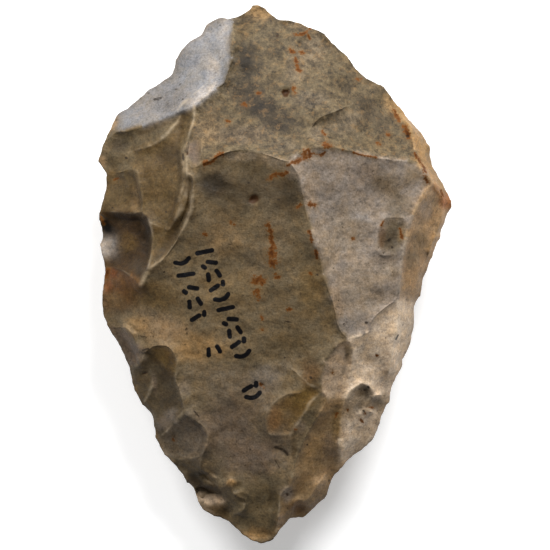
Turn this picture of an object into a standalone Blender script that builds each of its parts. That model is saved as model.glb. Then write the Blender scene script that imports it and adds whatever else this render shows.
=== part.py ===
"""A stone hand axe: one flint nodule flaked over both faces, lying on its flatter face.

Each face is drawn as a knapper's drawing is: the arrises between its flake scars are lines, and
each scar is the hollow that hangs between them. Large facets give the arrises their heights,
and the two faces meet in the sharp, wavy edge. +Y is towards the broad end, +Z up, and the
origin is under the middle of the axe, on the surface that it lies on.
"""

import math

import bpy
import numpy as np
from mathutils import Vector, noise
from mathutils.geometry import delaunay_2d_cdt

MM = 0.001  # every size below is in millimetres

EDGE_THICKNESS = 0.8  # what is left of the stone at its sharp edge
EDGE_LOWEST, EDGE_HIGHEST = 15.0, 20.5  # the edge line's height, which rises and falls
EDGE_UNDER = 14.0  # height of the under face's large facets at the edge
EDGE_WAVE = 1.2  # how far the edge line strays from that
STEP = 1.35  # spacing of the points that carry a face
EDGE_CLEARANCE = 1.0  # how near the edge an arris runs
SCAR_CURL = 0.13  # how strongly a scar curls up to the arris beside it, per millimetre
CURL_REACH = 2.6  # how far from the arris that curl is felt
FILM_PASSES = 1500  # passes that settle the hollows between the arrises
TRIANGLES_KEPT = 0.33  # share of the triangles that the Decimate keeps

# The edge, clockwise from the broad end's tip: where one flake's bite meets the next, and how
# far the bite reaches in from the straight line to the next row. A minus bulges out.
EDGE = (
    (-5.2, 75.0, -0.3), (-2.4, 74.0, 0.35), (1.4, 70.9, -0.7), (9.4, 68.7, -0.3),
    (14.0, 66.9, 0.2), (20.2, 60.8, 0.4), (24.8, 55.3, 0.2), (30.6, 52.3, 0.3),
    (35.0, 46.3, 0.1), (39.0, 41.3, -0.3), (43.1, 35.6, 0.2), (44.0, 30.0, -0.1),
    (49.3, 20.6, 0.0), (49.3, 18.7, 0.35), (46.0, 10.0, 0.2), (43.8, 4.6, 0.5),
    (40.6, -6.1, 0.25), (38.7, -9.0, -0.6), (37.4, -20.4, -0.1), (35.6, -23.6, -0.2),
    (34.9, -27.0, 0.3), (32.2, -32.8, -0.15), (31.9, -35.6, 0.1), (29.9, -39.2, -0.3),
    (27.3, -46.0, -0.3), (22.5, -50.0, 0.2), (19.8, -52.4, 0.1), (15.9, -57.3, -0.1),
    (14.0, -62.5, 0.1), (8.0, -67.8, 0.1), (4.4, -67.9, 0.2), (-0.3, -73.7, -0.3),
    (-4.0, -75.0, -0.2), (-8.8, -72.7, 0.1), (-12.8, -69.0, 0.3), (-16.0, -67.6, -0.3),
    (-20.3, -65.2, -0.2), (-22.6, -59.6, 0.2), (-24.6, -58.0, 0.35), (-27.0, -54.3, 0.1),
    (-30.8, -50.3, -0.15), (-33.2, -45.3, -0.1), (-33.8, -40.4, 0.5), (-37.0, -36.2, 0.1),
    (-39.2, -32.0, 0.1), (-41.0, -24.5, 0.15), (-46.4, -14.6, -0.3), (-48.1, -9.0, 0.0),
    (-48.1, -4.8, 0.25), (-47.4, 1.6, 0.1), (-48.8, 8.2, 0.8), (-49.0, 15.2, -0.1),
    (-48.9, 17.4, 0.1), (-47.1, 23.6, 0.15), (-47.2, 28.2, 0.1), (-49.3, 31.4, 0.0),
    (-48.0, 35.6, 0.0), (-44.4, 44.0, -0.1), (-42.8, 45.3, 0.3), (-36.0, 50.9, 0.0),
    (-30.4, 54.4, 0.8), (-27.7, 59.6, -1.0), (-20.9, 66.5, 0.1), (-19.4, 69.0, -0.4),
    (-14.8, 71.7, 0.5), (-10.0, 72.1, 0.1), (-8.0, 73.2, 0.1), (-6.2, 74.9, 0.0),
)

# The large facets of the upper face: three points (x, y, z) that each one passes through.
UPPER_FACETS = (
    ((6.0, 28.0, 41.0), (-22.0, 28.0, 37.6), (17.0, -12.0, 34.4)),  # middle
    ((6.0, 30.5, 41.0), (-20.0, 33.0, 38.0), (2.0, 70.0, 23.5)),  # broad end
    ((-14.0, 53.0, 29.9), (-21.0, 46.6, 29.1), (-14.0, 33.5, 38.2)),  # its left flank
    ((14.0, 35.0, 38.9), (43.0, 31.0, 25.5), (21.0, 56.0, 26.5)),  # its right flank
    ((-11.1, 71.7, 21.8), (-13.8, 52.7, 29.9), (-43.0, 40.0, 20.5)),  # pale shoulder
    ((7.0, 27.0, 40.9), (17.5, -14.0, 34.0), (38.0, 16.0, 28.5)),  # right
    ((41.0, 22.0, 27.0), (34.5, -2.0, 28.3), (47.0, 14.0, 18.5)),  # right strip
    ((-25.5, 33.7, 34.5), (-34.0, 2.0, 30.6), (-48.0, 20.0, 21.0)),  # left
    ((-36.0, -3.0, 29.8), (-30.0, -22.0, 27.4), (-48.0, -8.0, 22.0)),  # left shoulder
    ((18.0, -17.0, 33.6), (9.0, -40.0, 28.9), (33.0, -20.0, 26.5)),  # lower right
    ((18.5, -40.0, 26.2), (27.0, -15.0, 29.8), (29.0, -44.0, 19.5)),  # its edge
    ((-35.5, -22.0, 26.8), (-24.9, -37.5, 25.2), (-37.0, -36.0, 18.5)),  # lower left
    ((-10.0, -56.0, 23.8), (4.0, -58.0, 23.4), (-4.0, -74.0, 17.8)),  # narrow end
    ((4.4, -58.5, 23.2), (1.5, -71.0, 18.6), (13.0, -62.0, 18.5)),  # its right flank
    ((-19.0, -45.0, 24.6), (-14.0, -60.0, 22.4), (-27.0, -55.0, 18.0)),  # its left flank
)

# The arrises of the upper face: each is a smooth line through (x, y, drop), where the drop is
# how far below the large facets it runs. A high line beside a low one is the wall of a step.
UPPER_ARRISES = (
    # round the large facets
    ((-19.6, 30.6, 0), (-13.8, 33.5, 0), (-8.3, 34.4, 0), (-2.2, 33.0, 0), (3.7, 31.3, 0),
     (8.4, 34.4, 0), (14.3, 35.2, 0), (20.9, 34.1, 0), (27.1, 32.4, 0), (39.5, 31.0, 0)),
    ((3.7, 31.3, 0), (6.9, 26.6, 0), (8.4, 18.0, 0), (11.5, 8.2, 0), (13.4, 0.1, 0),
     (16.2, -8.5, 0), (17.6, -14.5, 0), (20.2, -17.8, 0)),
    ((-11.4, 71.0, 0), (-12.0, 60.0, 0), (-14.0, 53.0, 0)),
    ((8.6, 35.0, 0), (8.6, 41.5, -0.3), (12.5, 43.3, -0.4), (20.9, 47.0, -0.2)),
    ((20.2, -17.8, 0), (24.5, -16.6, 0), (26.6, -15.4, 0), (27.0, -12.8, 0),
     (29.4, -10.2, 0), (34.4, -6.6, 0)),
    ((43.2, 25.4, 0), (41.0, 22.4, 0), (38.6, 17.5, 0), (36.6, 12.0, 0), (34.9, 2.0, 0),
     (34.4, -6.6, 0), (33.8, -14.0, 0), (32.0, -23.5, 0), (31.0, -30.0, 0)),
    ((35.0, 44.5, 0), (37.6, 40.0, 0), (39.5, 31.0, 0), (43.2, 25.4, 0), (47.2, 20.6, 0)),
    # the pale shoulder's lower arris
    ((-46.6, 37.8, 0.3), (-43.5, 39.6, 0), (-41.0, 39.9, 0), (-34.4, 41.9, 0),
     (-27.8, 44.7, 0), (-22.0, 46.8, 0), (-18.0, 50.2, 0), (-14.0, 53.0, 0)),
    # the two steps that face left, each with its foot
    ((-22.0, 46.8, 0), (-22.6, 42.0, 0.1), (-24.0, 38.0, 0.1), (-25.4, 34.0, 0.1),
     (-24.7, 30.0, 0.2), (-24.7, 25.0, 0.9), (-25.8, 19.0, 1.5), (-29.2, 12.5, 1.9)),
    ((-24.9, 44.6, 2.4), (-26.0, 40.0, 2.8), (-26.9, 35.0, 3.0), (-26.3, 30.0, 3.2),
     (-26.4, 25.0, 3.2), (-27.4, 20.0, 3.0), (-29.9, 14.4, 2.8)),
    ((-24.7, 30.0, 0.2), (-22.6, 26.5, 0), (-22.6, 20.0, 0), (-23.6, 16.0, 0),
     (-25.3, 12.5, 0), (-28.0, 8.3, 0), (-31.0, 4.2, 0), (-34.0, 1.4, 0)),
    ((-23.8, 25.0, 1.6), (-24.1, 20.5, 2.0), (-25.4, 16.5, 2.2), (-27.2, 12.8, 2.2),
     (-29.8, 9.0, 2.0), (-32.2, 5.6, 1.4)),
    # the scars of the broad left side
    ((-39.6, 34.2, 1.4), (-34.5, 35.6, 1.2), (-30.5, 38.2, 1.2), (-28.0, 41.0, 1.3),
     (-26.4, 43.8, 1.4)),
    ((-46.4, 28.2, 1.2), (-43.0, 28.4, 1.2), (-40.0, 29.2, 1.2), (-37.7, 28.4, 1.3),
     (-37.2, 25.0, 1.2), (-36.6, 21.0, 1.2), (-36.8, 17.2, 1.4)),
    ((-46.3, 26.6, 2.2), (-42.5, 26.8, 2.6), (-39.2, 27.0, 2.8), (-38.2, 22.0, 2.8),
     (-38.0, 18.3, 2.8)),
    ((-47.9, 17.2, 2.0), (-44.0, 17.4, 2.3), (-40.0, 17.0, 2.2), (-36.8, 17.2, 1.4),
     (-34.6, 15.6, 1.4), (-33.9, 11.5, 1.5), (-34.2, 7.0, 1.2), (-34.9, 2.5, 0.5),
     (-36.8, -2.8, 0)),
    ((-47.6, 15.2, 3.6), (-44.0, 15.4, 4.4), (-40.0, 15.0, 4.8), (-37.2, 14.4, 4.9),
     (-36.0, 11.5, 5.0), (-36.2, 7.0, 4.6), (-37.2, 2.8, 3.2), (-38.4, 0.4, 1.6)),
    ((-46.4, 2.0, 2.2), (-43.0, 1.5, 1.8), (-39.5, -0.6, 1.0), (-36.8, -2.8, 0)),
    ((-46.6, 14.0, 4.0), (-44.8, 11.6, 4.4), (-44.4, 8.5, 4.4), (-45.8, 5.6, 3.8)),
    ((-23.9, 32.6, 0), (-23.4, 36.2, 0), (-21.8, 38.3, 0), (-20.3, 36.2, 0),
     (-20.2, 33.0, 0), (-20.9, 30.2, 0), (-23.0, 29.8, 0), (-23.9, 32.6, 0)),
    # the steep scars down the left edge
    ((-45.4, -14.8, 0), (-41.4, -14.8, 0), (-39.4, -16.8, 0), (-37.6, -20.6, 0),
     (-35.6, -21.2, 0), (-33.6, -19.9, 0), (-30.0, -19.8, 0), (-28.2, -21.4, 0),
     (-27.0, -25.0, 0), (-27.6, -29.3, 0.3), (-26.0, -33.2, 0.2), (-24.7, -37.7, 0.1),
     (-22.8, -40.0, 0), (-19.0, -43.0, 0), (-18.6, -46.5, 0), (-20.1, -50.2, 0.2)),
    ((-35.6, -21.2, 0), (-33.0, -23.8, 2.0), (-30.2, -26.3, 2.2), (-27.6, -29.3, 0.3)),
    ((-39.6, -25.4, 0.5), (-37.4, -24.8, 1.0), (-35.6, -21.2, 0)),
    ((-34.6, -26.4, 1.8), (-34.0, -30.0, 1.6), (-34.8, -33.0, 1.2), (-36.0, -35.0, 0.7)),
    ((-24.7, -37.7, 0.1), (-28.0, -41.6, 0.9), (-32.0, -45.3, 0.7)),
    ((-23.6, -39.4, 1.0), (-20.6, -42.8, 1.1), (-20.0, -46.5, 1.0), (-21.2, -49.2, 0.8)),
    ((-20.1, -50.2, 0.2), (-24.0, -51.2, 0.6), (-28.6, -51.4, 0.5)),
    # the narrow end
    ((-20.1, -50.2, 0.2), (-20.6, -53.6, 0.3), (-18.0, -56.4, 0.6), (-15.0, -59.6, 0.4)),
    ((-21.4, -60.0, 1.0), (-18.6, -59.9, 1.0), (-15.0, -59.6, 0.4), (-12.2, -57.2, 0)),
    ((-21.2, -61.2, 2.8), (-18.0, -61.0, 2.9), (-15.2, -61.9, 2.6), (-13.4, -63.4, 2.0)),
    ((-20.4, -63.6, 2.0), (-17.0, -63.6, 1.8), (-13.2, -64.2, 1.2), (-12.4, -66.4, 0.9)),
    ((-12.2, -57.2, 0), (-11.5, -60.6, 0.3), (-8.0, -63.0, 0), (-9.4, -66.0, 0.3),
     (-12.4, -66.4, 0.9)),
    ((4.4, -58.5, 0), (1.6, -61.2, 0), (1.2, -65.5, 0), (0.4, -71.4, 0)),
    ((14.2, -55.0, 0), (11.5, -59.0, 0), (8.8, -62.4, 0.1), (5.8, -62.6, 0.1),
     (4.8, -66.4, 0.3)),
    # the scars of the lower right
    ((20.2, -17.8, 0), (21.4, -20.5, 0), (21.2, -24.0, 0.3), (20.2, -29.0, 0.5)),
    ((20.2, -17.8, 0), (17.0, -19.6, 0), (13.8, -24.0, 0), (12.5, -28.5, 0),
     (13.0, -32.2, 0.1)),
    ((19.7, -20.6, 1.2), (19.8, -23.4, 1.4), (18.8, -27.0, 1.2)),
    ((2.8, -24.6, 0), (9.2, -30.2, 0.3), (7.6, -32.3, 0.1), (3.5, -33.2, 0),
     (0.2, -35.0, 0), (-2.2, -39.0, 0), (-1.6, -44.0, 0.2), (4.2, -44.6, 0.3)),
    ((9.2, -30.2, 0.3), (13.0, -32.2, 0.1), (10.0, -35.2, 0), (8.0, -38.8, 0),
     (4.2, -44.6, 0.3)),
    ((13.0, -32.2, 0.1), (14.3, -34.4, 0), (11.5, -40.0, 0), (8.4, -45.4, 0),
     (5.6, -52.0, 0), (4.4, -58.5, 0)),
    ((24.2, -30.0, 0), (21.2, -31.8, 0), (19.6, -34.4, 0), (18.6, -39.0, 0),
     (18.0, -47.0, 0), (18.6, -50.6, 0.2)),
    ((24.2, -30.0, 0), (26.5, -31.4, 0), (27.0, -34.0, 0.3), (25.0, -37.0, 0.8),
     (22.4, -39.8, 0.8), (19.6, -42.6, 0.5)),
    ((25.4, -32.0, 1.8), (25.3, -34.2, 1.9), (23.4, -36.6, 1.5)),
    ((27.0, -34.0, 0.3), (29.0, -33.4, 0), (30.7, -33.6, 0)),
    ((25.0, -37.0, 0.8), (27.2, -38.4, 0.6), (28.8, -38.6, 0.5)),
    # the scars of the right side
    ((36.9, 15.4, 0), (33.5, 15.8, 0), (30.2, 15.2, 0), (28.5, 11.0, 0), (28.3, 6.8, 0),
     (30.0, 5.2, 0), (33.0, 6.0, 0.1), (35.4, 7.2, 0)),
    ((34.9, 13.9, 1.3), (34.4, 10.6, 1.6), (33.0, 8.2, 1.5)),
    ((47.2, 20.6, 0), (45.8, 14.0, -0.2), (43.8, 9.0, -0.2), (41.6, 3.0, -0.2)),
)

# The flat that the axe lies on, and the arrises of the under face as (x, y, z): plainer, and
# in keeping with the upper face.
REST_RIM = (
    (-3.0, 30.0), (11.0, 27.0), (18.0, 14.0), (17.0, -3.0), (9.0, -17.0),
    (-2.0, -26.0), (-12.0, -21.0), (-19.0, -6.0), (-17.0, 12.0), (-11.0, 24.0),
)
UNDER_ARRISES = (
    ((-3.0, 30.0, 0), (-1.0, 44.0, 4.6), (2.0, 57.0, 9.8), (1.5, 68.5, 14.6)),
    ((-1.0, 44.0, 4.6), (10.0, 55.0, 8.6), (17.0, 61.5, 13.6)),
    ((11.0, 27.0, 0), (22.0, 33.0, 4.2), (35.0, 43.0, 12.6)),
    ((18.0, 14.0, 0), (30.0, 19.0, 5.0), (46.0, 21.0, 14.4)),
    ((30.0, 19.0, 5.0), (36.0, 10.0, 8.4), (43.5, 8.0, 13.2)),
    ((17.0, -3.0, 0), (28.0, -6.0, 5.8), (38.0, -8.5, 12.8)),
    ((9.0, -17.0, 0), (20.0, -24.0, 5.4), (32.5, -29.0, 13.0)),
    ((20.0, -24.0, 5.4), (21.0, -36.0, 8.4), (25.5, -45.0, 13.0)),
    ((-2.0, -26.0, 0), (4.0, -42.0, 5.6), (11.0, -62.0, 13.6)),
    ((4.0, -42.0, 5.6), (-4.0, -54.0, 8.4), (-5.0, -72.0, 14.8)),
    ((-12.0, -21.0, 0), (-16.0, -38.0, 6.0), (-21.0, -58.0, 13.4)),
    ((-16.0, -38.0, 6.0), (-25.0, -43.0, 9.6), (-32.0, -45.0, 13.4)),
    ((-19.0, -6.0, 0), (-29.0, -14.0, 5.6), (-42.0, -19.5, 13.8)),
    ((-17.0, 12.0, 0), (-31.0, 10.0, 6.4), (-46.5, 6.0, 14.0)),
    ((-31.0, 10.0, 6.4), (-36.0, 20.0, 9.2), (-45.5, 25.0, 14.2)),
    ((-11.0, 24.0, 0), (-22.0, 36.0, 5.8), (-35.0, 48.0, 13.4)),
    ((-22.0, 36.0, 5.8), (-18.0, 52.0, 9.6), (-22.5, 63.0, 14.4)),
)


def edge_points(step):
    """The edge as a closed run of plan points, each span a shallow arc, about a step apart."""
    points = []
    for (x, y, bite), (next_x, next_y, _) in zip(EDGE, EDGE[1:] + EDGE[:1]):
        along = np.array((next_x - x, next_y - y))
        length = np.hypot(*along)
        inward = np.array((along[1], -along[0])) / length
        spans = max(1, round(length / step))
        for share in np.arange(spans) / spans:
            sag = 4.0 * bite * share * (1.0 - share)
            points.append(np.array((x, y)) + along * share + inward * sag)
    return np.array(points)


def smooth_line(points, step):
    """A smooth curve through the points, which passes each one, with a point every step."""
    points = np.array(points, float)
    ends = 2.0 * points[[0, -1]] - points[[1, -2]]
    held = np.vstack((ends[:1], points, ends[1:]))
    line = []
    for before, start, end, after in zip(held, held[1:], held[2:], held[3:]):
        spans = max(1, round(np.hypot(*(end - start)[:2]) / step))
        for share in np.arange(spans) / spans:
            line.append(
                start
                + 0.5 * share * (end - before)
                + share**2 * (before - 2.5 * start + 2.0 * end - 0.5 * after)
                + share**3 * (1.5 * (start - end) + 0.5 * (after - before))
            )
    return np.array(line + [points[-1]])


def distance_to_lines(points, lines):
    """How far each plan point lies from the nearest of the lines."""
    nearest = np.full(len(points), np.inf)
    for line in lines:
        for (ax, ay), (bx, by) in zip(line[:-1, :2], line[1:, :2]):
            run = np.array((bx - ax, by - ay))
            from_start = points - (ax, ay)
            share = np.clip(from_start @ run / (run @ run), 0.0, 1.0)
            off = from_start - share[:, None] * run
            nearest = np.minimum(nearest, np.hypot(off[:, 0], off[:, 1]))
    return nearest


def plane_through(three):
    """z0, dz/dx and dz/dy of the plane through three points."""
    rows = np.array([(1.0, x, y) for x, y, _ in three])
    return np.linalg.solve(rows, np.array([z for _, _, z in three]))


def large_facets(points):
    """Height of the large facets over plan points: the lowest of their planes."""
    rows = np.column_stack((np.ones(len(points)), points))
    return np.min([rows @ plane_through(three) for three in UPPER_FACETS], axis=0)


def edge_heights(edge):
    """Height of the edge line: midway between the faces' large facets, and wavy."""
    middle = 0.5 * (large_facets(edge) + EDGE_UNDER)
    wave = np.array([noise.noise(Vector((0.06 * x, 0.06 * y, 3.0))) for x, y in edge])
    return np.clip(middle, EDGE_LOWEST, EDGE_HIGHEST) + EDGE_WAVE * wave


def sheet_of(edge, lines, step):
    """Triangles over the plan that follow the edge and every arris.

    Gives the plan points, the triangles, the place in the edge of the points that lie on it,
    and for each point the arris point that it is, or -1.
    """
    coords = [tuple(point) for point in edge]
    links = [(i, (i + 1) % len(edge)) for i in range(len(edge))]
    held = []
    for line in lines:
        first = len(coords)
        coords += [tuple(point[:2]) for point in line]
        links += [(first + i, first + i + 1) for i in range(len(line) - 1)]
        held += list(line[:, 2])
    row_gap = step * math.sqrt(0.75)
    rows = np.arange(edge[:, 1].min(), edge[:, 1].max(), row_gap)
    across = np.arange(edge[:, 0].min(), edge[:, 0].max(), step)
    grid = np.array([(x + 0.5 * step * (i % 2), y) for i, y in enumerate(rows) for x in across])
    closed_edge = np.vstack((edge, edge[:1]))
    clear = distance_to_lines(grid, [closed_edge, *lines]) > 0.6 * step
    coords += [tuple(point) for point in grid[clear]]
    vectors = [Vector(point) for point in coords]
    points, _, triangles, sources, _, _ = delaunay_2d_cdt(vectors, links, [], 1, 1e-4)
    triangles = np.array(triangles)
    used = np.unique(triangles)
    new_place = np.full(len(points), -1)
    new_place[used] = np.arange(len(used))
    on_edge = {}
    arris = np.full(len(used), -1)
    for place, origins in zip(new_place, sources):
        for origin in origins if place >= 0 else ():
            if origin < len(edge):
                on_edge[origin] = place
            elif origin < len(edge) + len(held):
                arris[place] = origin - len(edge)
    return np.array(points)[used], new_place[triangles], on_edge, arris, np.array(held)


def hang(heights, pinned, sag, triangles):
    """Lets the heights that aren't pinned settle between the ones that are, like a film."""
    ends = np.concatenate((triangles[:, :2], triangles[:, 1:], triangles[:, ::2]))
    ends = np.unique(np.sort(ends, axis=1), axis=0)
    count = len(heights)
    neighbours = np.bincount(ends.ravel(), minlength=count)
    for _ in range(FILM_PASSES):
        total = np.bincount(ends[:, 0], heights[ends[:, 1]], count)
        total += np.bincount(ends[:, 1], heights[ends[:, 0]], count)
        heights = np.where(pinned, heights, total / neighbours - sag)
    return heights


def inside_edge(lines, edge):
    """The lines without the points that come too near the edge."""
    closed_edge = np.vstack((edge, edge[:1]))
    kept = [line[distance_to_lines(line[:, :2], [closed_edge]) > EDGE_CLEARANCE] for line in lines]
    return [line for line in kept if len(line) > 1]


def curl_near(points, lines):
    """How far a free point sinks below its neighbours: most beside an arris."""
    away = distance_to_lines(points, lines)
    return 0.25 * STEP**2 * SCAR_CURL * np.exp(-away / CURL_REACH)


def upper_sheet(edge, edge_height):
    lines = inside_edge([smooth_line(arris, STEP) for arris in UPPER_ARRISES], edge)
    points, triangles, on_edge, arris, drops = sheet_of(edge, lines, STEP)
    heights = large_facets(points)
    heights = heights - np.where(arris >= 0, drops[arris], 0.0)
    for origin, place in on_edge.items():
        heights[place] = edge_height[origin] + 0.5 * EDGE_THICKNESS
    pinned = arris >= 0
    pinned[list(on_edge.values())] = True
    heights = hang(heights, pinned, curl_near(points, lines), triangles)
    return np.column_stack((points, heights)), triangles, on_edge


def under_sheet(edge, edge_height):
    rim = [(x, y, 0.0) for x, y in REST_RIM + REST_RIM[:1]]
    rims = [smooth_line(pair, STEP) for pair in zip(rim, rim[1:])]
    lines = rims + inside_edge([smooth_line(arris, STEP) for arris in UNDER_ARRISES], edge)
    points, triangles, on_edge, arris, arris_heights = sheet_of(edge, lines, STEP)
    heights = np.where(arris >= 0, arris_heights[arris], 0.3)
    for origin, place in on_edge.items():
        heights[place] = edge_height[origin] - 0.5 * EDGE_THICKNESS
    pinned = arris >= 0
    pinned[list(on_edge.values())] = True
    flat = inside_rim(points)
    heights[flat] = 0.0
    pinned |= flat
    heights = hang(heights, pinned, -curl_near(points, lines), triangles)
    return np.column_stack((points, heights)), triangles, on_edge


def inside_rim(points):
    """Which plan points lie on the flat that the axe rests on: it is convex."""
    inside = np.full(len(points), True)
    for (ax, ay), (bx, by) in zip(REST_RIM, REST_RIM[1:] + REST_RIM[:1]):
        turn = (bx - ax) * (points[:, 1] - ay) - (by - ay) * (points[:, 0] - ax)
        inside &= turn < 1e-6
    return inside


def stone_material():
    material = bpy.data.materials.new("patinated flint")
    material.use_nodes = True
    shader = material.node_tree.nodes["Principled BSDF"]
    shader.inputs["Base Color"].default_value = (0.20, 0.17, 0.13, 1.0)
    shader.inputs["Roughness"].default_value = 0.55
    shader.inputs["Metallic"].default_value = 0.0
    return material


def hand_axe():
    """Both faces joined along the edge into one closed stone."""
    edge = edge_points(STEP)
    edge_height = edge_heights(edge)
    upper, upper_triangles, upper_edge = upper_sheet(edge, edge_height)
    under, under_triangles, under_edge = under_sheet(edge, edge_height)
    first_under = len(upper)
    faces = [tuple(face) for face in upper_triangles.tolist()]
    faces += [tuple(first_under + i for i in face[::-1]) for face in under_triangles.tolist()]
    for i in range(len(edge)):
        j = (i + 1) % len(edge)
        low_i, low_j = first_under + under_edge[i], first_under + under_edge[j]
        faces += [(upper_edge[j], low_j, low_i), (upper_edge[j], low_i, upper_edge[i])]
    mesh = bpy.data.meshes.new("hand_axe")
    mesh.from_pydata((np.vstack((upper, under)) * MM).tolist(), [], faces)
    mesh.validate()
    axe = bpy.data.objects.new("hand_axe", mesh)
    bpy.context.scene.collection.objects.link(axe)
    mesh.materials.append(stone_material())
    thinned = axe.modifiers.new("fewer triangles where it is flat", "DECIMATE")
    thinned.ratio = TRIANGLES_KEPT
    mesh.shade_smooth()
    return axe


for left_over in list(bpy.data.objects):
    bpy.data.objects.remove(left_over)
hand_axe()
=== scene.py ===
# %% [markdown]
# # A flint hand axe
# A hand axe is one nodule of flint that a knapper flaked over both faces until they met in a
# sharp edge. Every blow left a scar, and the scars meet in lines that are called arrises. This
# file starts from the packed solid, which has the outline and the main scars, and rebuilds the
# stone's skin at a finer scale, with its chips, pits, patina and ink.

# %% The packed model
import math

import bpy
import numpy as np
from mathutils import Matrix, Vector, noise
from mathutils.geometry import delaunay_2d_cdt
from mathutils.kdtree import KDTree


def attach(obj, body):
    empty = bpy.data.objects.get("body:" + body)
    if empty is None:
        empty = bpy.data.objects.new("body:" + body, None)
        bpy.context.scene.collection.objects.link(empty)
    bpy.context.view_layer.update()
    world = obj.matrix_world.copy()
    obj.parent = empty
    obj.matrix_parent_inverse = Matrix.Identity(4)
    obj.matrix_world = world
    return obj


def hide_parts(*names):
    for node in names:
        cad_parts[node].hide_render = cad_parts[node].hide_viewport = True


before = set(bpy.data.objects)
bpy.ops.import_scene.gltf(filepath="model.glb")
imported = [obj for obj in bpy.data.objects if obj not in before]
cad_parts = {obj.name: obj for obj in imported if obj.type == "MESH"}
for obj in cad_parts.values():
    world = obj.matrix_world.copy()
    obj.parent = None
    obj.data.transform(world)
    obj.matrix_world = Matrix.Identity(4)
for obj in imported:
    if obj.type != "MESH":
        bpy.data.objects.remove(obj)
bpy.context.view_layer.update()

MM = 0.001  # sizes below are in millimetres
CAD_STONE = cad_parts["hand_axe"]

# %% [markdown]
# ## Camera, floor and light
# Stone tools are shown from straight above, with the light from the top, so that the scars
# read as hollows. A long lens a good way off keeps the outline free of perspective.
# The key light is large and soft and stands beyond the broad end, to the right. A weaker one
# stands to the left, so that the shadow gathers round the narrow end. A pale world fills the rest,
# and the floor glows a little, as a light table does, which keeps the shadow light.

# %% Camera
LENS = 470.0
CAMERA_AT = (0.07, -0.14, 2015.0)
camera_data = bpy.data.cameras.new("camera")
camera_data.lens = LENS
camera_data.clip_end = 50.0
camera = bpy.data.objects.new("camera", camera_data)
camera.location = Vector(CAMERA_AT) * MM
bpy.context.scene.collection.objects.link(camera)
bpy.context.scene.camera = camera
bpy.context.scene.view_settings.view_transform = "Standard"
print("camera at", [round(x, 3) for x in camera.location])

# %% Lights, each by its bearing from +X and its height above the floor, in degrees
LIGHTS = (
    ("key", 70.0, 36.0, 0.6, 33.0),
    ("second", 125.0, 38.0, 0.6, 19.5),
)
LIGHT_DISTANCE = 1.5
WORLD_LIGHT = 0.2


def add_light(name, bearing, height, size, watts):
    lamp = bpy.data.lights.new(name, "AREA")
    lamp.size = size
    lamp.energy = watts
    holder = bpy.data.objects.new(name, lamp)
    turn, lift = math.radians(bearing), math.radians(height)
    out = Vector((math.cos(turn) * math.cos(lift), math.sin(turn) * math.cos(lift), math.sin(lift)))
    holder.location = out * LIGHT_DISTANCE
    holder.rotation_euler = out.to_track_quat("Z", "Y").to_euler()
    bpy.context.scene.collection.objects.link(holder)


for light in LIGHTS:
    add_light(*light)
world = bpy.data.worlds.new("soft room")
world.use_nodes = True
world.node_tree.nodes["Background"].inputs["Color"].default_value = (1.0, 1.0, 1.0, 1.0)
world.node_tree.nodes["Background"].inputs["Strength"].default_value = WORLD_LIGHT
bpy.context.scene.world = world
print(len(LIGHTS), "lights and a world of strength", WORLD_LIGHT)

# %% Floor
FLOOR_SIDE = 12.0
FLOOR_COLOUR = (0.9, 0.9, 0.9, 1.0)
FLOOR_ROUGHNESS = 0.9
FLOOR_GLOW = 0.36
half = FLOOR_SIDE / 2.0
floor_mesh = bpy.data.meshes.new("floor")
corners = [(-half, -half, 0), (half, -half, 0), (half, half, 0), (-half, half, 0)]
floor_mesh.from_pydata(corners, [], [(0, 1, 2, 3)])
floor = bpy.data.objects.new("floor", floor_mesh)
bpy.context.scene.collection.objects.link(floor)
floor_paint = bpy.data.materials.new("pale floor")
floor_paint.use_nodes = True
for label, value in (
    ("Base Color", FLOOR_COLOUR),
    ("Roughness", FLOOR_ROUGHNESS),
    ("Emission Color", FLOOR_COLOUR),
    ("Emission Strength", FLOOR_GLOW),
):
    floor_paint.node_tree.nodes["Principled BSDF"].inputs[label].default_value = value
floor_mesh.materials.append(floor_paint)
print("floor of", FLOOR_SIDE, "m")

# %% [markdown]
# ## Drawing the stone
# An archaeologist draws a hand axe as its outline and its arrises, and that drawing is enough to
# build it from. The outline is a run of points where one flake's bite meets the next. A few
# large facets give the arrises their heights. Each arris is a smooth line with a drop below the
# facets, and the foot of a step is a line that runs lower beside it.

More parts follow.
